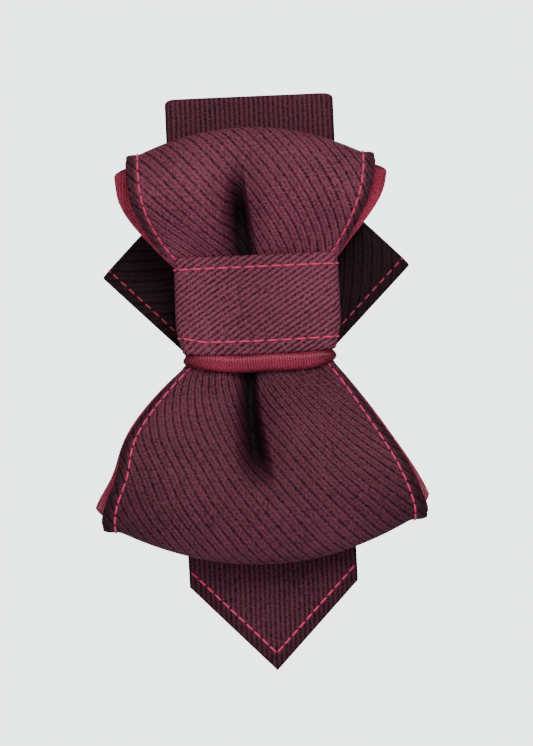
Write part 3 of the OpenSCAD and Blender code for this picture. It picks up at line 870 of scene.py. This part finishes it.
def knot_angles(count=240):
    """Angles round the knot, spaced so that the points are even along its outline. They start
    at the middle of the back."""
    phi = np.pi / 2 + np.linspace(0, 2 * np.pi, 2881)
    half_w, half_d = 23.4, 7.2  # in millimetres, for the spacing only
    across, deep = rounded(phi)
    s = np.concatenate([[0], np.cumsum(np.hypot(np.diff(across * half_w), np.diff(deep * half_d)))])
    return np.interp(np.linspace(0, s[-1], count + 1)[:-1], s, phi)


def knot_band(shape, low, high, depth, thickness, radius):
    """Closed ring of the knot between two heights, with rolled edges."""
    z_out, in_out, z_in, in_in = hem_profile(low, high, radius, thickness, 46)
    phi = knot_angles()[None]
    outer = knot_level(shape, phi, z_out[:, None], depth + in_out[:, None])
    inner = knot_level(shape, phi, z_in[:, None], depth + in_in[:, None])
    # painted shade in the middle of the knot's front
    painted_shade = shape.hollow * bell(outer[..., 0], 11 * MM) * (outer[..., 1] < (shape.front_y + WING_Y) / 2)
    return shell(outer, inner, ring_uv(outer), wrap=True, painted_shade=painted_shade)


def knot_roll(shape):
    """The knot's satin lining. It shows below the cloth as a roll: a flattened arc that turns
    under at its lower edge, which rises to the right."""
    turn = np.radians(np.linspace(75, -100, ROLL_ROWS))
    upper_z = np.linspace(shape.top - 2.1 * MM, ROLL_START_Z, SATIN_ROWS)
    z = np.concatenate([upper_z, ROLL_Z + ROLL_RADIUS * np.sin(turn)])
    flat = np.sign(np.cos(turn)) * np.abs(np.cos(turn)) ** 0.6
    under = mix(LINING[0], ROLL_DEPTH - ROLL_RADIUS * flat, ramp(np.arange(ROLL_ROWS), 0, 5))
    depth = np.concatenate([np.full(SATIN_ROWS, LINING[0]), under])
    phi = knot_angles()[None]
    z, depth = z[:, None], depth[:, None]

    def face(extra):
        """The roll below the front, lifted at its ends, squeezed there and waved."""
        points = knot_level(shape, phi, z + 0 * phi, depth + extra)
        x, z_now = points[..., 0], points[..., 2]
        k = x / (22 * MM)
        lift = 1.1 * MM * k**2 - 0.2 * MM * k + 0.5 * MM
        z_now += lift * ramp(-z_now, 10 * MM, 15.5 * MM)
        above_middle = z_now + 13.6 * MM
        low = ramp(-z_now, 10 * MM, 12 * MM)
        z_now -= 0.4 * ramp(np.abs(x), 16 * MM, 23 * MM) * low * above_middle
        z_now += 0.18 * MM * np.sin(x / (3.1 * MM) + 0.5) * low
        return points

    outer, inner = face(0.0), face(LINING[1] - LINING[0])
    x = np.abs(outer[..., 0])
    # painted shade at the roll's ends and middle, leaving two brighter patches that stand for
    # highlights
    painted_shade = 0.72 * ramp(x, 13 * MM, 22 * MM) + 0.45 * bell(x, 5.5 * MM)
    return shell(outer, inner, ring_uv(outer), wrap=True, painted_shade=painted_shade)


def knot_stitches(shape, z_of_x, colours):
    """A row of stitches across the front of the knot."""
    phi = np.linspace(-np.pi + 0.02, -0.02, 900)
    x = knot_level(shape, phi, np.zeros_like(phi), 0.0)[:, 0]
    path = knot_level(shape, phi, z_of_x(x), 0.0)
    raised = knot_level(shape, phi, z_of_x(x), -0.1 * MM)
    up = unit(raised - path)
    return stitches(path, up, 3.9 * MM, 0.4 * MM, colours.thread_width, lift=0.05 * MM)


# ---------------------------------------------------------------- neckband


def band_line(count):
    """Middle line of the right half of the neckband past the mitre, as centre, direction of its
    width, outward normal and width: along the wing at 45 degrees, back through an arc at the
    fold, untwisting to upright by the end of the twist, and round the corner to the nape."""
    wing_end = FOLD_SUM * ROOT_HALF - FOLD_RADIUS
    slant = np.array([ROOT_HALF, 0, ROOT_HALF])
    rise = np.array([-ROOT_HALF, 0, ROOT_HALF])
    back = np.array([0.0, 1.0, 0.0])
    shift = -WING_MID * ROOT_HALF
    arc = np.linspace(0, np.pi / 2, count)[:, None]
    fold_c = (wing_end + FOLD_RADIUS * np.sin(arc)) * slant + shift * rise
    fold_c = fold_c + (WING_Y + FOLD_RADIUS * (1 - np.cos(arc))) * back
    fold_n = -np.cos(arc) * back + np.sin(arc) * slant
    fold_w = np.repeat(rise[None], count, axis=0)
    k = np.linspace(0, 1, 3 * count)[1:, None]
    s = smooth(k)
    tilt = np.pi / 4 * (1 - s)
    start_y = WING_Y + FOLD_RADIUS
    twist_y = mix(start_y, TWIST_END_Y, k)
    twist_c = np.concatenate([mix(FOLD_X, LOOP_HALF_W, s), twist_y, 0 * k + BAND_Z], 1)
    twist_w = np.concatenate([-np.sin(tilt), 0 * k, np.cos(tilt)], 1)
    twist_n = np.concatenate([np.cos(tilt), 0 * k, np.sin(tilt)], 1)
    y = np.linspace(TWIST_END_Y, CORNER_Y, 3 * count)[1:-1, None]
    one = np.ones_like(y)
    run_c = np.concatenate([LOOP_HALF_W * one, y, BAND_Z * one], 1)
    phi = np.linspace(0, np.pi / 2, 2 * count)[:, None]
    corner_c = np.concatenate(
        [NAPE_X + CORNER_R * np.cos(phi), CORNER_Y + CORNER_R * np.sin(phi), 0 * phi + BAND_Z], 1
    )
    corner_n = np.concatenate([np.cos(phi), np.sin(phi), 0 * phi], 1)
    upright = np.array([0.0, 0.0, 1.0])
    centre = np.concatenate([fold_c, twist_c, run_c, corner_c])
    wide = np.concatenate([fold_w, twist_w, one * upright, (0 * phi + 1) * upright])
    normal = np.concatenate([fold_n, twist_n, one * np.array([1.0, 0, 0]), corner_n])
    width = np.concatenate([np.full(count, WING_W), mix(WING_W, STRAP_W, s)[:, 0]])
    width = np.concatenate([width, np.full(len(y) + len(phi), STRAP_W)])
    return centre, wide, normal, width


def band_face(q, lift):
    """One face of the right half of the neckband. q runs across it from -1 at its lower edge to
    1 at its upper edge. Its first rows run from the mitre under the knot, where they start
    further out the higher they are."""
    centre, wide, normal, width = band_line(12)
    rows = centre[:, None] + wide[:, None] * (q[None, :, None] * width[:, None, None] / 2)
    pillow = 0.25 * MM * (1 - np.abs(q) ** 6)[None, :, None] * np.sign(lift)
    rows = rows + normal[:, None] * (lift + pillow * abs(lift) / (BAND_T / 2))
    first = rows[:1]
    start = first.copy()
    start[..., 0] = 0.02 * MM
    start[..., 2] = first[..., 2] - first[..., 0] + 0.02 * MM
    k = np.linspace(0, 1, 40)[:-1, None, None]
    return np.concatenate([mix(start, first, k), rows])


def band_skin():
    """The right half of the neckband: a folded tube of cloth with rounded edges."""
    q = np.linspace(-1, 1, 33)
    q = np.sign(q) * (1 - (1 - np.abs(q)) ** 1.25)
    outer = band_face(q, BAND_LIFT)
    inner = band_face(q, -BAND_LIFT)
    along = run_length((outer + inner) / 2)[:, 16:17]
    uv = flat_uv(q[None] * WING_W / 2, along)
    return shell(outer, inner, uv, bulge=0.3, rounds=3)


def band_length():
    """Length of half the neckband along its middle."""
    return float(run_length(band_face(np.zeros(1), BAND_T / 2))[-1, 0])


def run_radius():
    """Radius of the return run's corner, inside the strap's own."""
    return CORNER_R - BAND_T / 2 - 0.2 * MM - TURN_T / 2


def run_skin():
    """The return run of the left strap: straight from the slide's tab, then a quarter circle
    round the nape's corner to the hook."""
    radius = run_radius()
    y = np.linspace(RUN_END_Y, CORNER_Y, 30)[:-1]
    phi = np.linspace(0, np.pi / 2, 24)
    turn = np.concatenate([0 * y, phi])[:, None]
    y = np.concatenate([y, 0 * phi + CORNER_Y])[:, None]
    q = np.linspace(-1, 1, 21)
    z = BAND_Z + STRAP_W / 2 * q[None] + 0 * y

    def face(r):
        return np.stack([-NAPE_X - r * np.cos(turn) + 0 * z, y + r * np.sin(turn) + 0 * z, z], axis=-1)

    outer, inner = face(radius + TURN_T / 2), face(radius - TURN_T / 2)
    uv = flat_uv(q[None] * STRAP_W / 2, run_length(outer))
    return shell(outer, inner, uv, bulge=0.3, rounds=3)


def band_stitches():
    """Two rows of stitches along the edges of the wing and the strap."""
    rows = []
    for q_at in (-1, 1):
        q = q_at * np.array([0.79, 0.8, 0.81])
        face = band_face(q, BAND_LIFT)
        normals = grid_normals(face)[:, 1]
        normals = normals * np.sign(-normals[2, 1])
        keep = face[:, 1, 0] > ROW_START_X
        path, up = face[keep, 1], normals[keep]
        rows.append(stitches(path, up, 3.2 * MM, 0.7 * MM, 0.55 * MM, height=0.3, lift=0.03 * MM))
    return joined(rows)


# ---------------------------------------------------------------- settings


def length(name, size, description):
    """Property for a length, in metres."""
    return FloatProperty(name=name, default=size, unit="LENGTH", precision=4, description=description)


def power(name, watts, description):
    """Property for the power of a light, in watts."""
    return FloatProperty(name=name, default=watts, unit="POWER", description=description)


def ratio(name, value, description):
    """Property for a plain number."""
    return FloatProperty(name=name, default=value, precision=3, description=description)


def colour(name, value, description):
    """Property for a colour."""
    return FloatVectorProperty(
        name=name, default=value, size=3, min=0, max=1, subtype="COLOR", description=description
    )


class FinishSettings(bpy.types.PropertyGroup):
    """Colours and weave."""

    cloth: colour("Ribbed cloth", (0.154, 0.034, 0.062), "Burgundy of the ribbed cloth")
    satin: colour("Satin", (0.37, 0.034, 0.075), "Rose red of the satin lining")
    thread: colour("Topstitching", (0.88, 0.036, 0.145), "Coral of the topstitching")
    canvas: colour("Canvas", (0.62, 0.58, 0.5), "Undyed interlining canvas")
    label: colour("Label", (0.7, 0.68, 0.63), "Woven label")
    nickel: colour("Nickel", (0.62, 0.6, 0.57), "Plated hardware")
    rib_pitch: length("Rib pitch", 1.4 * MM, "Distance from one rib to the next")
    thread_width: length("Thread width", 0.6 * MM, "Width of the topstitching thread")


# Settings of a loop: kind, label, description, and the values of the upper and the lower loop.
# Heights and depths are measured away from the knot.
LOOP_FIELDS = {
    "height": (length, "Height", "Height of the fold at its middle", 53.3 * MM, 71.3 * MM),
    "drop": (length, "Drop", "From the fold's middle to its corners", 9.2 * MM, 13.5 * MM),
    "tilt": (length, "Tilt", "How much nearer the knot the right corner is", 1.0 * MM, 0.0),
    "front_half": (length, "Front half width", "Front leaf at the fold", 35.5 * MM, 46.7 * MM),
    "hem": (length, "Hem", "From the hem's stitches to the edge", 3.2 * MM, 3.5 * MM),
    "rear_half": (length, "Rear half width", "Rear leaf at the fold", 38.9 * MM, 49.2 * MM),
    "puff": (length, "Puff", "Depth of the loop, front to back", 15.0 * MM, 17.0 * MM),
    "waist_z": (length, "Waist height", "Where the loop starts to widen", 12.0 * MM, 14.0 * MM),
    "waist_half": (length, "Waist half width", "Half width inside the knot", 20.3 * MM, 21.0 * MM),
    "flare": (ratio, "Left flare", "How soon the left side widens", 2.6, 2.1),
    "pinch": (length, "Left pinch", "How far the left side is drawn in", 0.0 * MM, 2.6 * MM),
    "flare_right": (ratio, "Right flare", "How soon the right side widens", 2.0, 1.42),
    "right_scale": (ratio, "Right width", "Right side against the left one", 0.985, 0.975),
    "lap_right": (ratio, "Right lap", "Lining seen at the right against the left", 1.0, 0.6),
    "lap_start": (length, "Lap start", "Where the rear leaf starts to show", 18.0 * MM, 33.0 * MM),
    "lap_end": (length, "Lap end", "Where it shows at its widest", 36.0 * MM, 56.0 * MM),
    "up": (ratio, "Direction", "1 for a loop above the knot, -1 below", 1.0, -1.0),
    "pleat_from": (ratio, "Pleat start", "Its place at the knot, across the loop", -0.125, -0.127),
    "pleat_to": (ratio, "Pleat end", "Its far end's place, across the loop", -0.12, 0.0),
    "pleat_end": (length, "Pleat length", "Where the pleat fades out", 48 * MM, 54 * MM),
    "pleat_near": (length, "Pleat near width", "Half width at the knot", 3.3 * MM, 2.3 * MM),
    "pleat_far": (length, "Pleat far width", "Half width at the far end", 2.3 * MM, 3.7 * MM),
    "pleat_fade": (length, "Pleat fade", "Length over which it closes", 20.0 * MM, 17.0 * MM),
    "pleat_depth": (length, "Pleat depth", "Greatest depth of the pleat", 7.0 * MM, 8.0 * MM),
    "pleat_soft": (ratio, "Pleat softness", "Left slope against the right one", 1.35, 1.25),
    "swell": (ratio, "Swell", "Phase of the slow swell of the cloth", 0.4, 2.0),
    # painted light: the upper loop's cloth is a lighter copy, the lower loop's a darker copy, of one
    # cloth on one grain
    "tone": (ratio, "Tone", "Brightness of the cloth on this grain", 1.02, 0.6),
    # painted light: the upper loop's lining is a lighter copy, the lower loop's a darker copy, of one
    # satin
    "satin_tone": (ratio, "Satin tone", "Brightness of the lining on this grain", 1.35, 0.85),
    # painted shade in the corners
    "dusk": (ratio, "Dark corners", "How much darker the corners are", 0.15, 0.45),
    # painted shade along the fold
    "brow": (ratio, "Dark fold", "How much darker the cloth is along its fold", 0.24, 0.0),
}


def loop_settings(which):
    """Properties of one of the loops: 0 for the upper and 1 for the lower."""
    return {
        key: kind(label, values[which], description)
        for key, (kind, label, description, *values) in LOOP_FIELDS.items()
    }


class UpperLoopSettings(bpy.types.PropertyGroup):
    """The upper loop."""

    __annotations__ = loop_settings(0)


class LowerLoopSettings(bpy.types.PropertyGroup):
    """The lower loop."""

    __annotations__ = loop_settings(1)


class StripSettings(bpy.types.PropertyGroup):
    """The strip behind the bow."""

    width: length("Width", 48.2 * MM, "Width of the strip")
    top: length("Top", 63.0 * MM, "Height of the top fold above the origin")
    shoulder: length("Tail shoulder", 77.5 * MM, "Depth of the tail's shoulders")
    tip: length("Tail tip", 102.3 * MM, "Depth of the tail's point")


class KnotSettings(bpy.types.PropertyGroup):
    """The wrapped knot."""

    width: length("Width", 46.7 * MM, "Width of the knot")
    top: length("Top", 16.9 * MM, "Height of its upper edge above the origin")
    bottom: length("Bottom", 10.8 * MM, "Depth of its lower edge below the origin")
    front_y: length("Front", -16.4 * MM, "Place of its front face")
    # painted shade in the middle of the knot's front
    hollow: ratio("Hollow", 0.2, "How much darker the middle of its front is")


class StudioSettings(bpy.types.PropertyGroup):
    """Camera, light and floor."""

    distance: length("Camera distance", 0.9, "From the camera to the front of the bow")
    field: length("Field height", 0.2126, "Height of the view at the bow")
    roll: FloatProperty(
        name="Roll", default=math.radians(2.5), subtype="ANGLE", description="Roll of the camera"
    )
    key: power("Key light", 8.9, "Power of the key light")
    fill: power("Fill light", 3.0, "Power of the fill and back lights")
    ambient: ratio("Ambient", 0.25, "Strength of the light from all round")
    paper: colour("Paper", (0.8, 0.835, 0.87), "Pale paper of the floor and the background")


class BowTieSettings(bpy.types.PropertyGroup):
    """All the settings of the bow tie."""

    finish: PointerProperty(type=FinishSettings)
    upper: PointerProperty(type=UpperLoopSettings)
    lower: PointerProperty(type=LowerLoopSettings)
    strip: PointerProperty(type=StripSettings)
    knot: PointerProperty(type=KnotSettings)
    studio: PointerProperty(type=StudioSettings)


# ---------------------------------------------------------------- operators


def dress(node, finish):
    """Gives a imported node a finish."""
    mesh_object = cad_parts[node]
    mesh_object.data.materials.clear()
    mesh_object.data.materials.append(finish)


def add(name, skin, finish, slot, *nodes):
    """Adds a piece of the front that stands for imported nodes."""
    piece = new_piece(name, skin, finish)
    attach(piece, "front")
    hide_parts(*nodes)
    return piece


def cloth(settings, name, bias, tone=1.0, placed=False, every=2):
    """The ribbed cloth with its ribs at one angle."""
    return finish_named(name, ribbed_finish, settings.finish, bias, tone, placed, every)


def satin(settings, name="satin lining", tone=1.0, painted_sheen=0.7):
    """The satin."""
    return finish_named(name, satin_finish, settings.finish, tone, painted_sheen)


def thread(settings):
    """The topstitching thread."""
    return finish_named("topstitching thread", thread_finish, settings.finish.thread)


def canvas(settings):
    """The interlining."""
    return finish_named("interlining canvas", canvas_finish, settings.finish.canvas)


def add_loop(settings, shape, name):
    """Adds a loop's cloth, interlining, lining and the stitches along its two hems."""
    ribs = cloth(settings, f"{name} loop cloth", LOOP_BIAS, shape.tone)
    gloss = satin(settings, f"{name} loop lining", shape.satin_tone)
    core = loop_skin(shape, INTERLINING, INTERLINING_SHARE)
    piece = f"{name}_loop"
    outer = add(piece, loop_skin(shape, CLOTH), ribs, "ribbed_cloth", f"{name}_cloth")
    middle = add(f"{piece}_interlining", core, canvas(settings), "canvas", f"{name}_interlining")
    inner = add(f"{piece}_lining", loop_skin(shape, LINING), gloss, "satin", f"{name}_lining")
    for side, word in ((-1, "left"), (1, "right")):
        skin = hem_stitches(shape, side, settings.finish)
        node = f"{name}_stitching_{word}"
        add(f"{piece}_stitches_{word}", skin, thread(settings), "thread", node)
    wide, long = 2 * shape.rear_half, loop_cloth_length(shape)


def loop_cloth_length(shape):
    """Length of a loop's cloth along its middle, in metres."""
    line = loop_plain(shape, np.zeros((200, 1)), np.linspace(0, 3, 200)[:, None], 0.0)
    return float(run_length(line)[-1, 0])


class LoopOperator:
    """What the two loops' operators share: which is the name of the loop's settings."""

    def execute(self, context):
        settings = context.scene.bow_tie
        add_loop(settings, getattr(settings, self.which), self.which)
        return {"FINISHED"}


class BOWTIE_OT_upper_loop(LoopOperator, bpy.types.Operator):
    """Add the upper loop of the bow, with its lining and stitches"""

    bl_idname = "bowtie.upper_loop"
    bl_label = "Upper loop"
    which = "upper"


class BOWTIE_OT_lower_loop(LoopOperator, bpy.types.Operator):
    """Add the lower loop of the bow, with its lining and stitches"""

    bl_idname = "bowtie.lower_loop"
    bl_label = "Lower loop"
    which = "lower"


class BOWTIE_OT_strip(bpy.types.Operator):
    """Add the strip behind the bow, with its pointed tail"""

    bl_idname = "bowtie.strip"
    bl_label = "Back strip"

    def execute(self, context):
        settings = context.scene.bow_tie
        shape = settings.strip
        # painted shade: the strip's cloth is a darker copy of the same cloth
        straight = cloth(settings, "strip cloth", STRIP_BIAS, 0.46, every=1)
        core, lining = strip_skin(shape, INTERLINING, 1.5 * MM), strip_skin(shape, LINING, 0.2 * MM)
        outer = add("strip", strip_skin(shape, CLOTH), straight, "ribbed_cloth", "strip_cloth")
        middle = add("strip_middle", core, canvas(settings), "canvas", "strip_interlining")
        inner = add("strip_inside", lining, satin(settings), "satin", "strip_lining")
        skin = tail_stitches(shape, settings.finish)
        row = add("tail_stitches", skin, thread(settings), "thread", "tail_stitching")
        dress("label_tab", finish_named("label ribbon", canvas_finish, settings.finish.label))
        return {"FINISHED"}


class BOWTIE_OT_knot(bpy.types.Operator):
    """Add the wrapped knot, its satin roll and its stitches"""

    bl_idname = "bowtie.knot"
    bl_label = "Knot"

    def execute(self, context):
        settings = context.scene.bow_tie
        shape = settings.knot
        ribs = cloth(settings, "knot cloth", KNOT_BIAS, 1.02, every=1)
        low, high = -shape.bottom, shape.top
        band = knot_band(shape, low, high, 0.0, CLOTH[1], 0.9 * MM)
        outer = add("knot", band, ribs, "ribbed_cloth", "knot_cloth")
        core = knot_band(shape, low + 1 * MM, high - 1 * MM, INTERLINING[0], 0.35 * MM, 0.4 * MM)
        middle = add("knot_middle", core, canvas(settings), "canvas", "knot_interlining")
        # strong painted highlight patches on the knot's satin
        gloss = satin(settings, "knot satin", 0.98, 2.2)
        inner = add("knot_satin", knot_roll(shape), gloss, "satin", "knot_lining")
        lines = {
            "top": lambda x: TOP_ROW_Z + 0 * x,
            "bottom": lambda x: BOTTOM_ROW_Z + 1.3 * MM * ramp(-x, 15 * MM, 24 * MM),
        }
        for word, line in lines.items():
            skin = knot_stitches(shape, line, settings.finish)
            node = f"knot_stitching_{word}"
            add(f"knot_stitches_{word}", skin, thread(settings), "thread", node)
        dress("waist_thread", thread(settings))
        return {"FINISHED"}


class BOWTIE_OT_neckband(bpy.types.Operator):
    """Add the two wings and the strap round the neck"""

    bl_idname = "bowtie.neckband"
    bl_label = "Neckband"

    def execute(self, context):
        settings = context.scene.bow_tie
        # painted shadow: the neckband's cloth darkened as if under a collar
        shadowed = cloth(settings, "band cloth", BAND_BIAS, BAND_PAINTED_SHADOW)
        # painted shadow: the band's stitches are the topstitching thread darkened
        shadowed_thread = finish_named("band thread", thread_finish, shaded(settings.finish.thread, 0.45))
        reach, fold_end = 4.2 * MM, 7 * MM
        for side, word in ((1, "right"), (-1, "left")):
            skins = [band_skin(), band_stitches()]
            if side < 0:
                skins = [mirrored(skin) for skin in skins]
            band = new_piece(f"{word}_band", skins[0], shadowed)
            row = new_piece(f"{word}_band_stitches", skins[1], shadowed_thread)
            start = (side * (FOLD_X - reach), WING_Y, BAND_Z - reach)
            end = (side * FOLD_X, fold_end, BAND_Z)
            for piece in (band, row):
                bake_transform(piece)
            layers = ("wing_cloth", "wing_core", "band_cloth", "band_core")
            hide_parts(*(f"{word}_{layer}" for layer in layers))
            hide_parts(f"{word}_wing_stitching")
            band_length()
        run = new_piece("return_run_cloth", run_skin(), shadowed)
        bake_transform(run)
        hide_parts("return_run")
        # painted shadow on the upright band pieces too
        upright = cloth(settings, "upright band cloth", BAND_BIAS, BAND_PAINTED_SHADOW, placed=True)
        for node in ("hook_loop", "ring_loop", "slide_tab", "back_patch"):
            dress(node, upright)
        for node in ("wing_seam", "hook_tack", "ring_tack", "slide_tack"):
            dress(node, thread(settings))
        return {"FINISHED"}


class BOWTIE_OT_hardware(bpy.types.Operator):
    """Add the hook, the eye and the slide"""

    bl_idname = "bowtie.hardware"
    bl_label = "Hook, eye and slide"

    def execute(self, context):
        settings = context.scene.bow_tie
        plated = finish_named("nickel plate", nickel_finish, settings.finish.nickel)
        for node in ("hook", "eye_ring", "adjuster_slide"):
            dress(node, plated)
        return {"FINISHED"}


class BOWTIE_OT_studio(bpy.types.Operator):
    """Add the floor, the lights and the camera"""

    bl_idname = "bowtie.studio"
    bl_label = "Studio"

    def execute(self, context):
        scene = context.scene
        settings = scene.bow_tie.studio
        angle = np.linspace(0, 2 * np.pi, FLOOR_SIDES + 1)[:-1]
        x, y = FLOOR_RADIUS * np.cos(angle), FLOOR_RADIUS * np.sin(angle)
        rim = np.stack([x, y, 0 * angle + FLOOR_Z], axis=-1)
        mesh = bpy.data.meshes.new("floor")
        mesh.from_pydata(rim.tolist(), [], [list(range(FLOOR_SIDES))])
        mesh.materials.append(finish_named("paper", plain_finish, settings.paper))
        floor = bpy.data.objects.new("floor", mesh)
        scene.collection.objects.link(floor)
        self.add_world(scene, settings)
        self.add_light(scene, "key", (0.3, -0.9, 0.6), 0.55, settings.key)
        self.add_light(scene, "fill", (-0.7, -0.9, 0.1), 0.8, settings.fill)
        self.add_light(scene, "back", (0.1, 0.9, 0.6), 0.6, settings.fill)
        lens = bpy.data.cameras.new("camera")
        lens.sensor_width = SENSOR
        lens.lens = SENSOR * settings.distance / settings.field
        camera = bpy.data.objects.new("camera", lens)
        camera.location = (AIM_X, -settings.distance - BOW_DEPTH, AIM_Z)
        camera.rotation_euler = (math.pi / 2, settings.roll, 0)
        scene.collection.objects.link(camera)
        scene.camera = camera
        return {"FINISHED"}

    def add_light(self, scene, name, place, size, power):
        """A square soft box aimed at the knot."""
        data = bpy.data.lights.new(name, "AREA")
        data.size = size
        data.energy = power
        lamp = bpy.data.objects.new(name, data)
        place = np.array(place)
        lamp.location = place
        x, y, z = -place
        lamp.rotation_euler = (math.atan2(math.hypot(x, y), -z), 0, math.atan2(-x, y))
        scene.collection.objects.link(lamp)

    def add_world(self, scene, settings):
        """Soft light from all round, and a pale background where the camera sees past the tie."""
        world = bpy.data.worlds.new("studio")
        scene.world = world
        world.use_nodes = True
        tree = world.node_tree
        tree.nodes.clear()
        seen = tree.nodes.new("ShaderNodeLightPath").outputs["Is Camera Ray"]
        pale, soft = (tree.nodes.new("ShaderNodeBackground") for _ in range(2))
        pale.inputs["Color"].default_value = tuple(settings.paper) + (1.0,)
        pale.inputs["Strength"].default_value = 4.0
        soft.inputs["Color"].default_value = (1.0, 0.99, 0.98, 1.0)
        soft.inputs["Strength"].default_value = settings.ambient
        either = tree.nodes.new("ShaderNodeMixShader")
        output = tree.nodes.new("ShaderNodeOutputWorld")
        tree.links.new(seen, either.inputs[0])
        tree.links.new(soft.outputs[0], either.inputs[1])
        tree.links.new(pale.outputs[0], either.inputs[2])
        tree.links.new(either.outputs[0], output.inputs["Surface"])


class BOWTIE_PT_panel(bpy.types.Panel):
    """Buttons that add the pieces, and their settings"""

    bl_idname = "BOWTIE_PT_panel"
    bl_label = "Bow tie"
    bl_space_type = "VIEW_3D"
    bl_region_type = "UI"
    bl_category = "Bow tie"

    def draw(self, context):
        for operator in PIECES:
            self.layout.operator(operator.bl_idname)
        settings = context.scene.bow_tie
        for group in ("finish", "upper", "lower", "strip", "knot", "studio"):
            box = self.layout.box()
            box.label(text=group.capitalize())
            part = getattr(settings, group)
            for key in part.__annotations__:
                box.prop(part, key)


PIECES = (
    BOWTIE_OT_studio,
    BOWTIE_OT_strip,
    BOWTIE_OT_upper_loop,
    BOWTIE_OT_lower_loop,
    BOWTIE_OT_knot,
    BOWTIE_OT_neckband,
    BOWTIE_OT_hardware,
)
CLASSES = (
    FinishSettings,
    UpperLoopSettings,
    LowerLoopSettings,
    StripSettings,
    KnotSettings,
    StudioSettings,
    BowTieSettings,
    *PIECES,
    BOWTIE_PT_panel,
)


def register():
    for item in CLASSES:
        bpy.utils.register_class(item)
    bpy.types.Scene.bow_tie = PointerProperty(type=BowTieSettings)


def unregister():
    del bpy.types.Scene.bow_tie
    for item in reversed(CLASSES):
        bpy.utils.unregister_class(item)


def main():
    register()
    for operator in PIECES:
        group, name = operator.bl_idname.split(".")
        getattr(getattr(bpy.ops, group), name)()


if __name__ == "__main__":
    main()
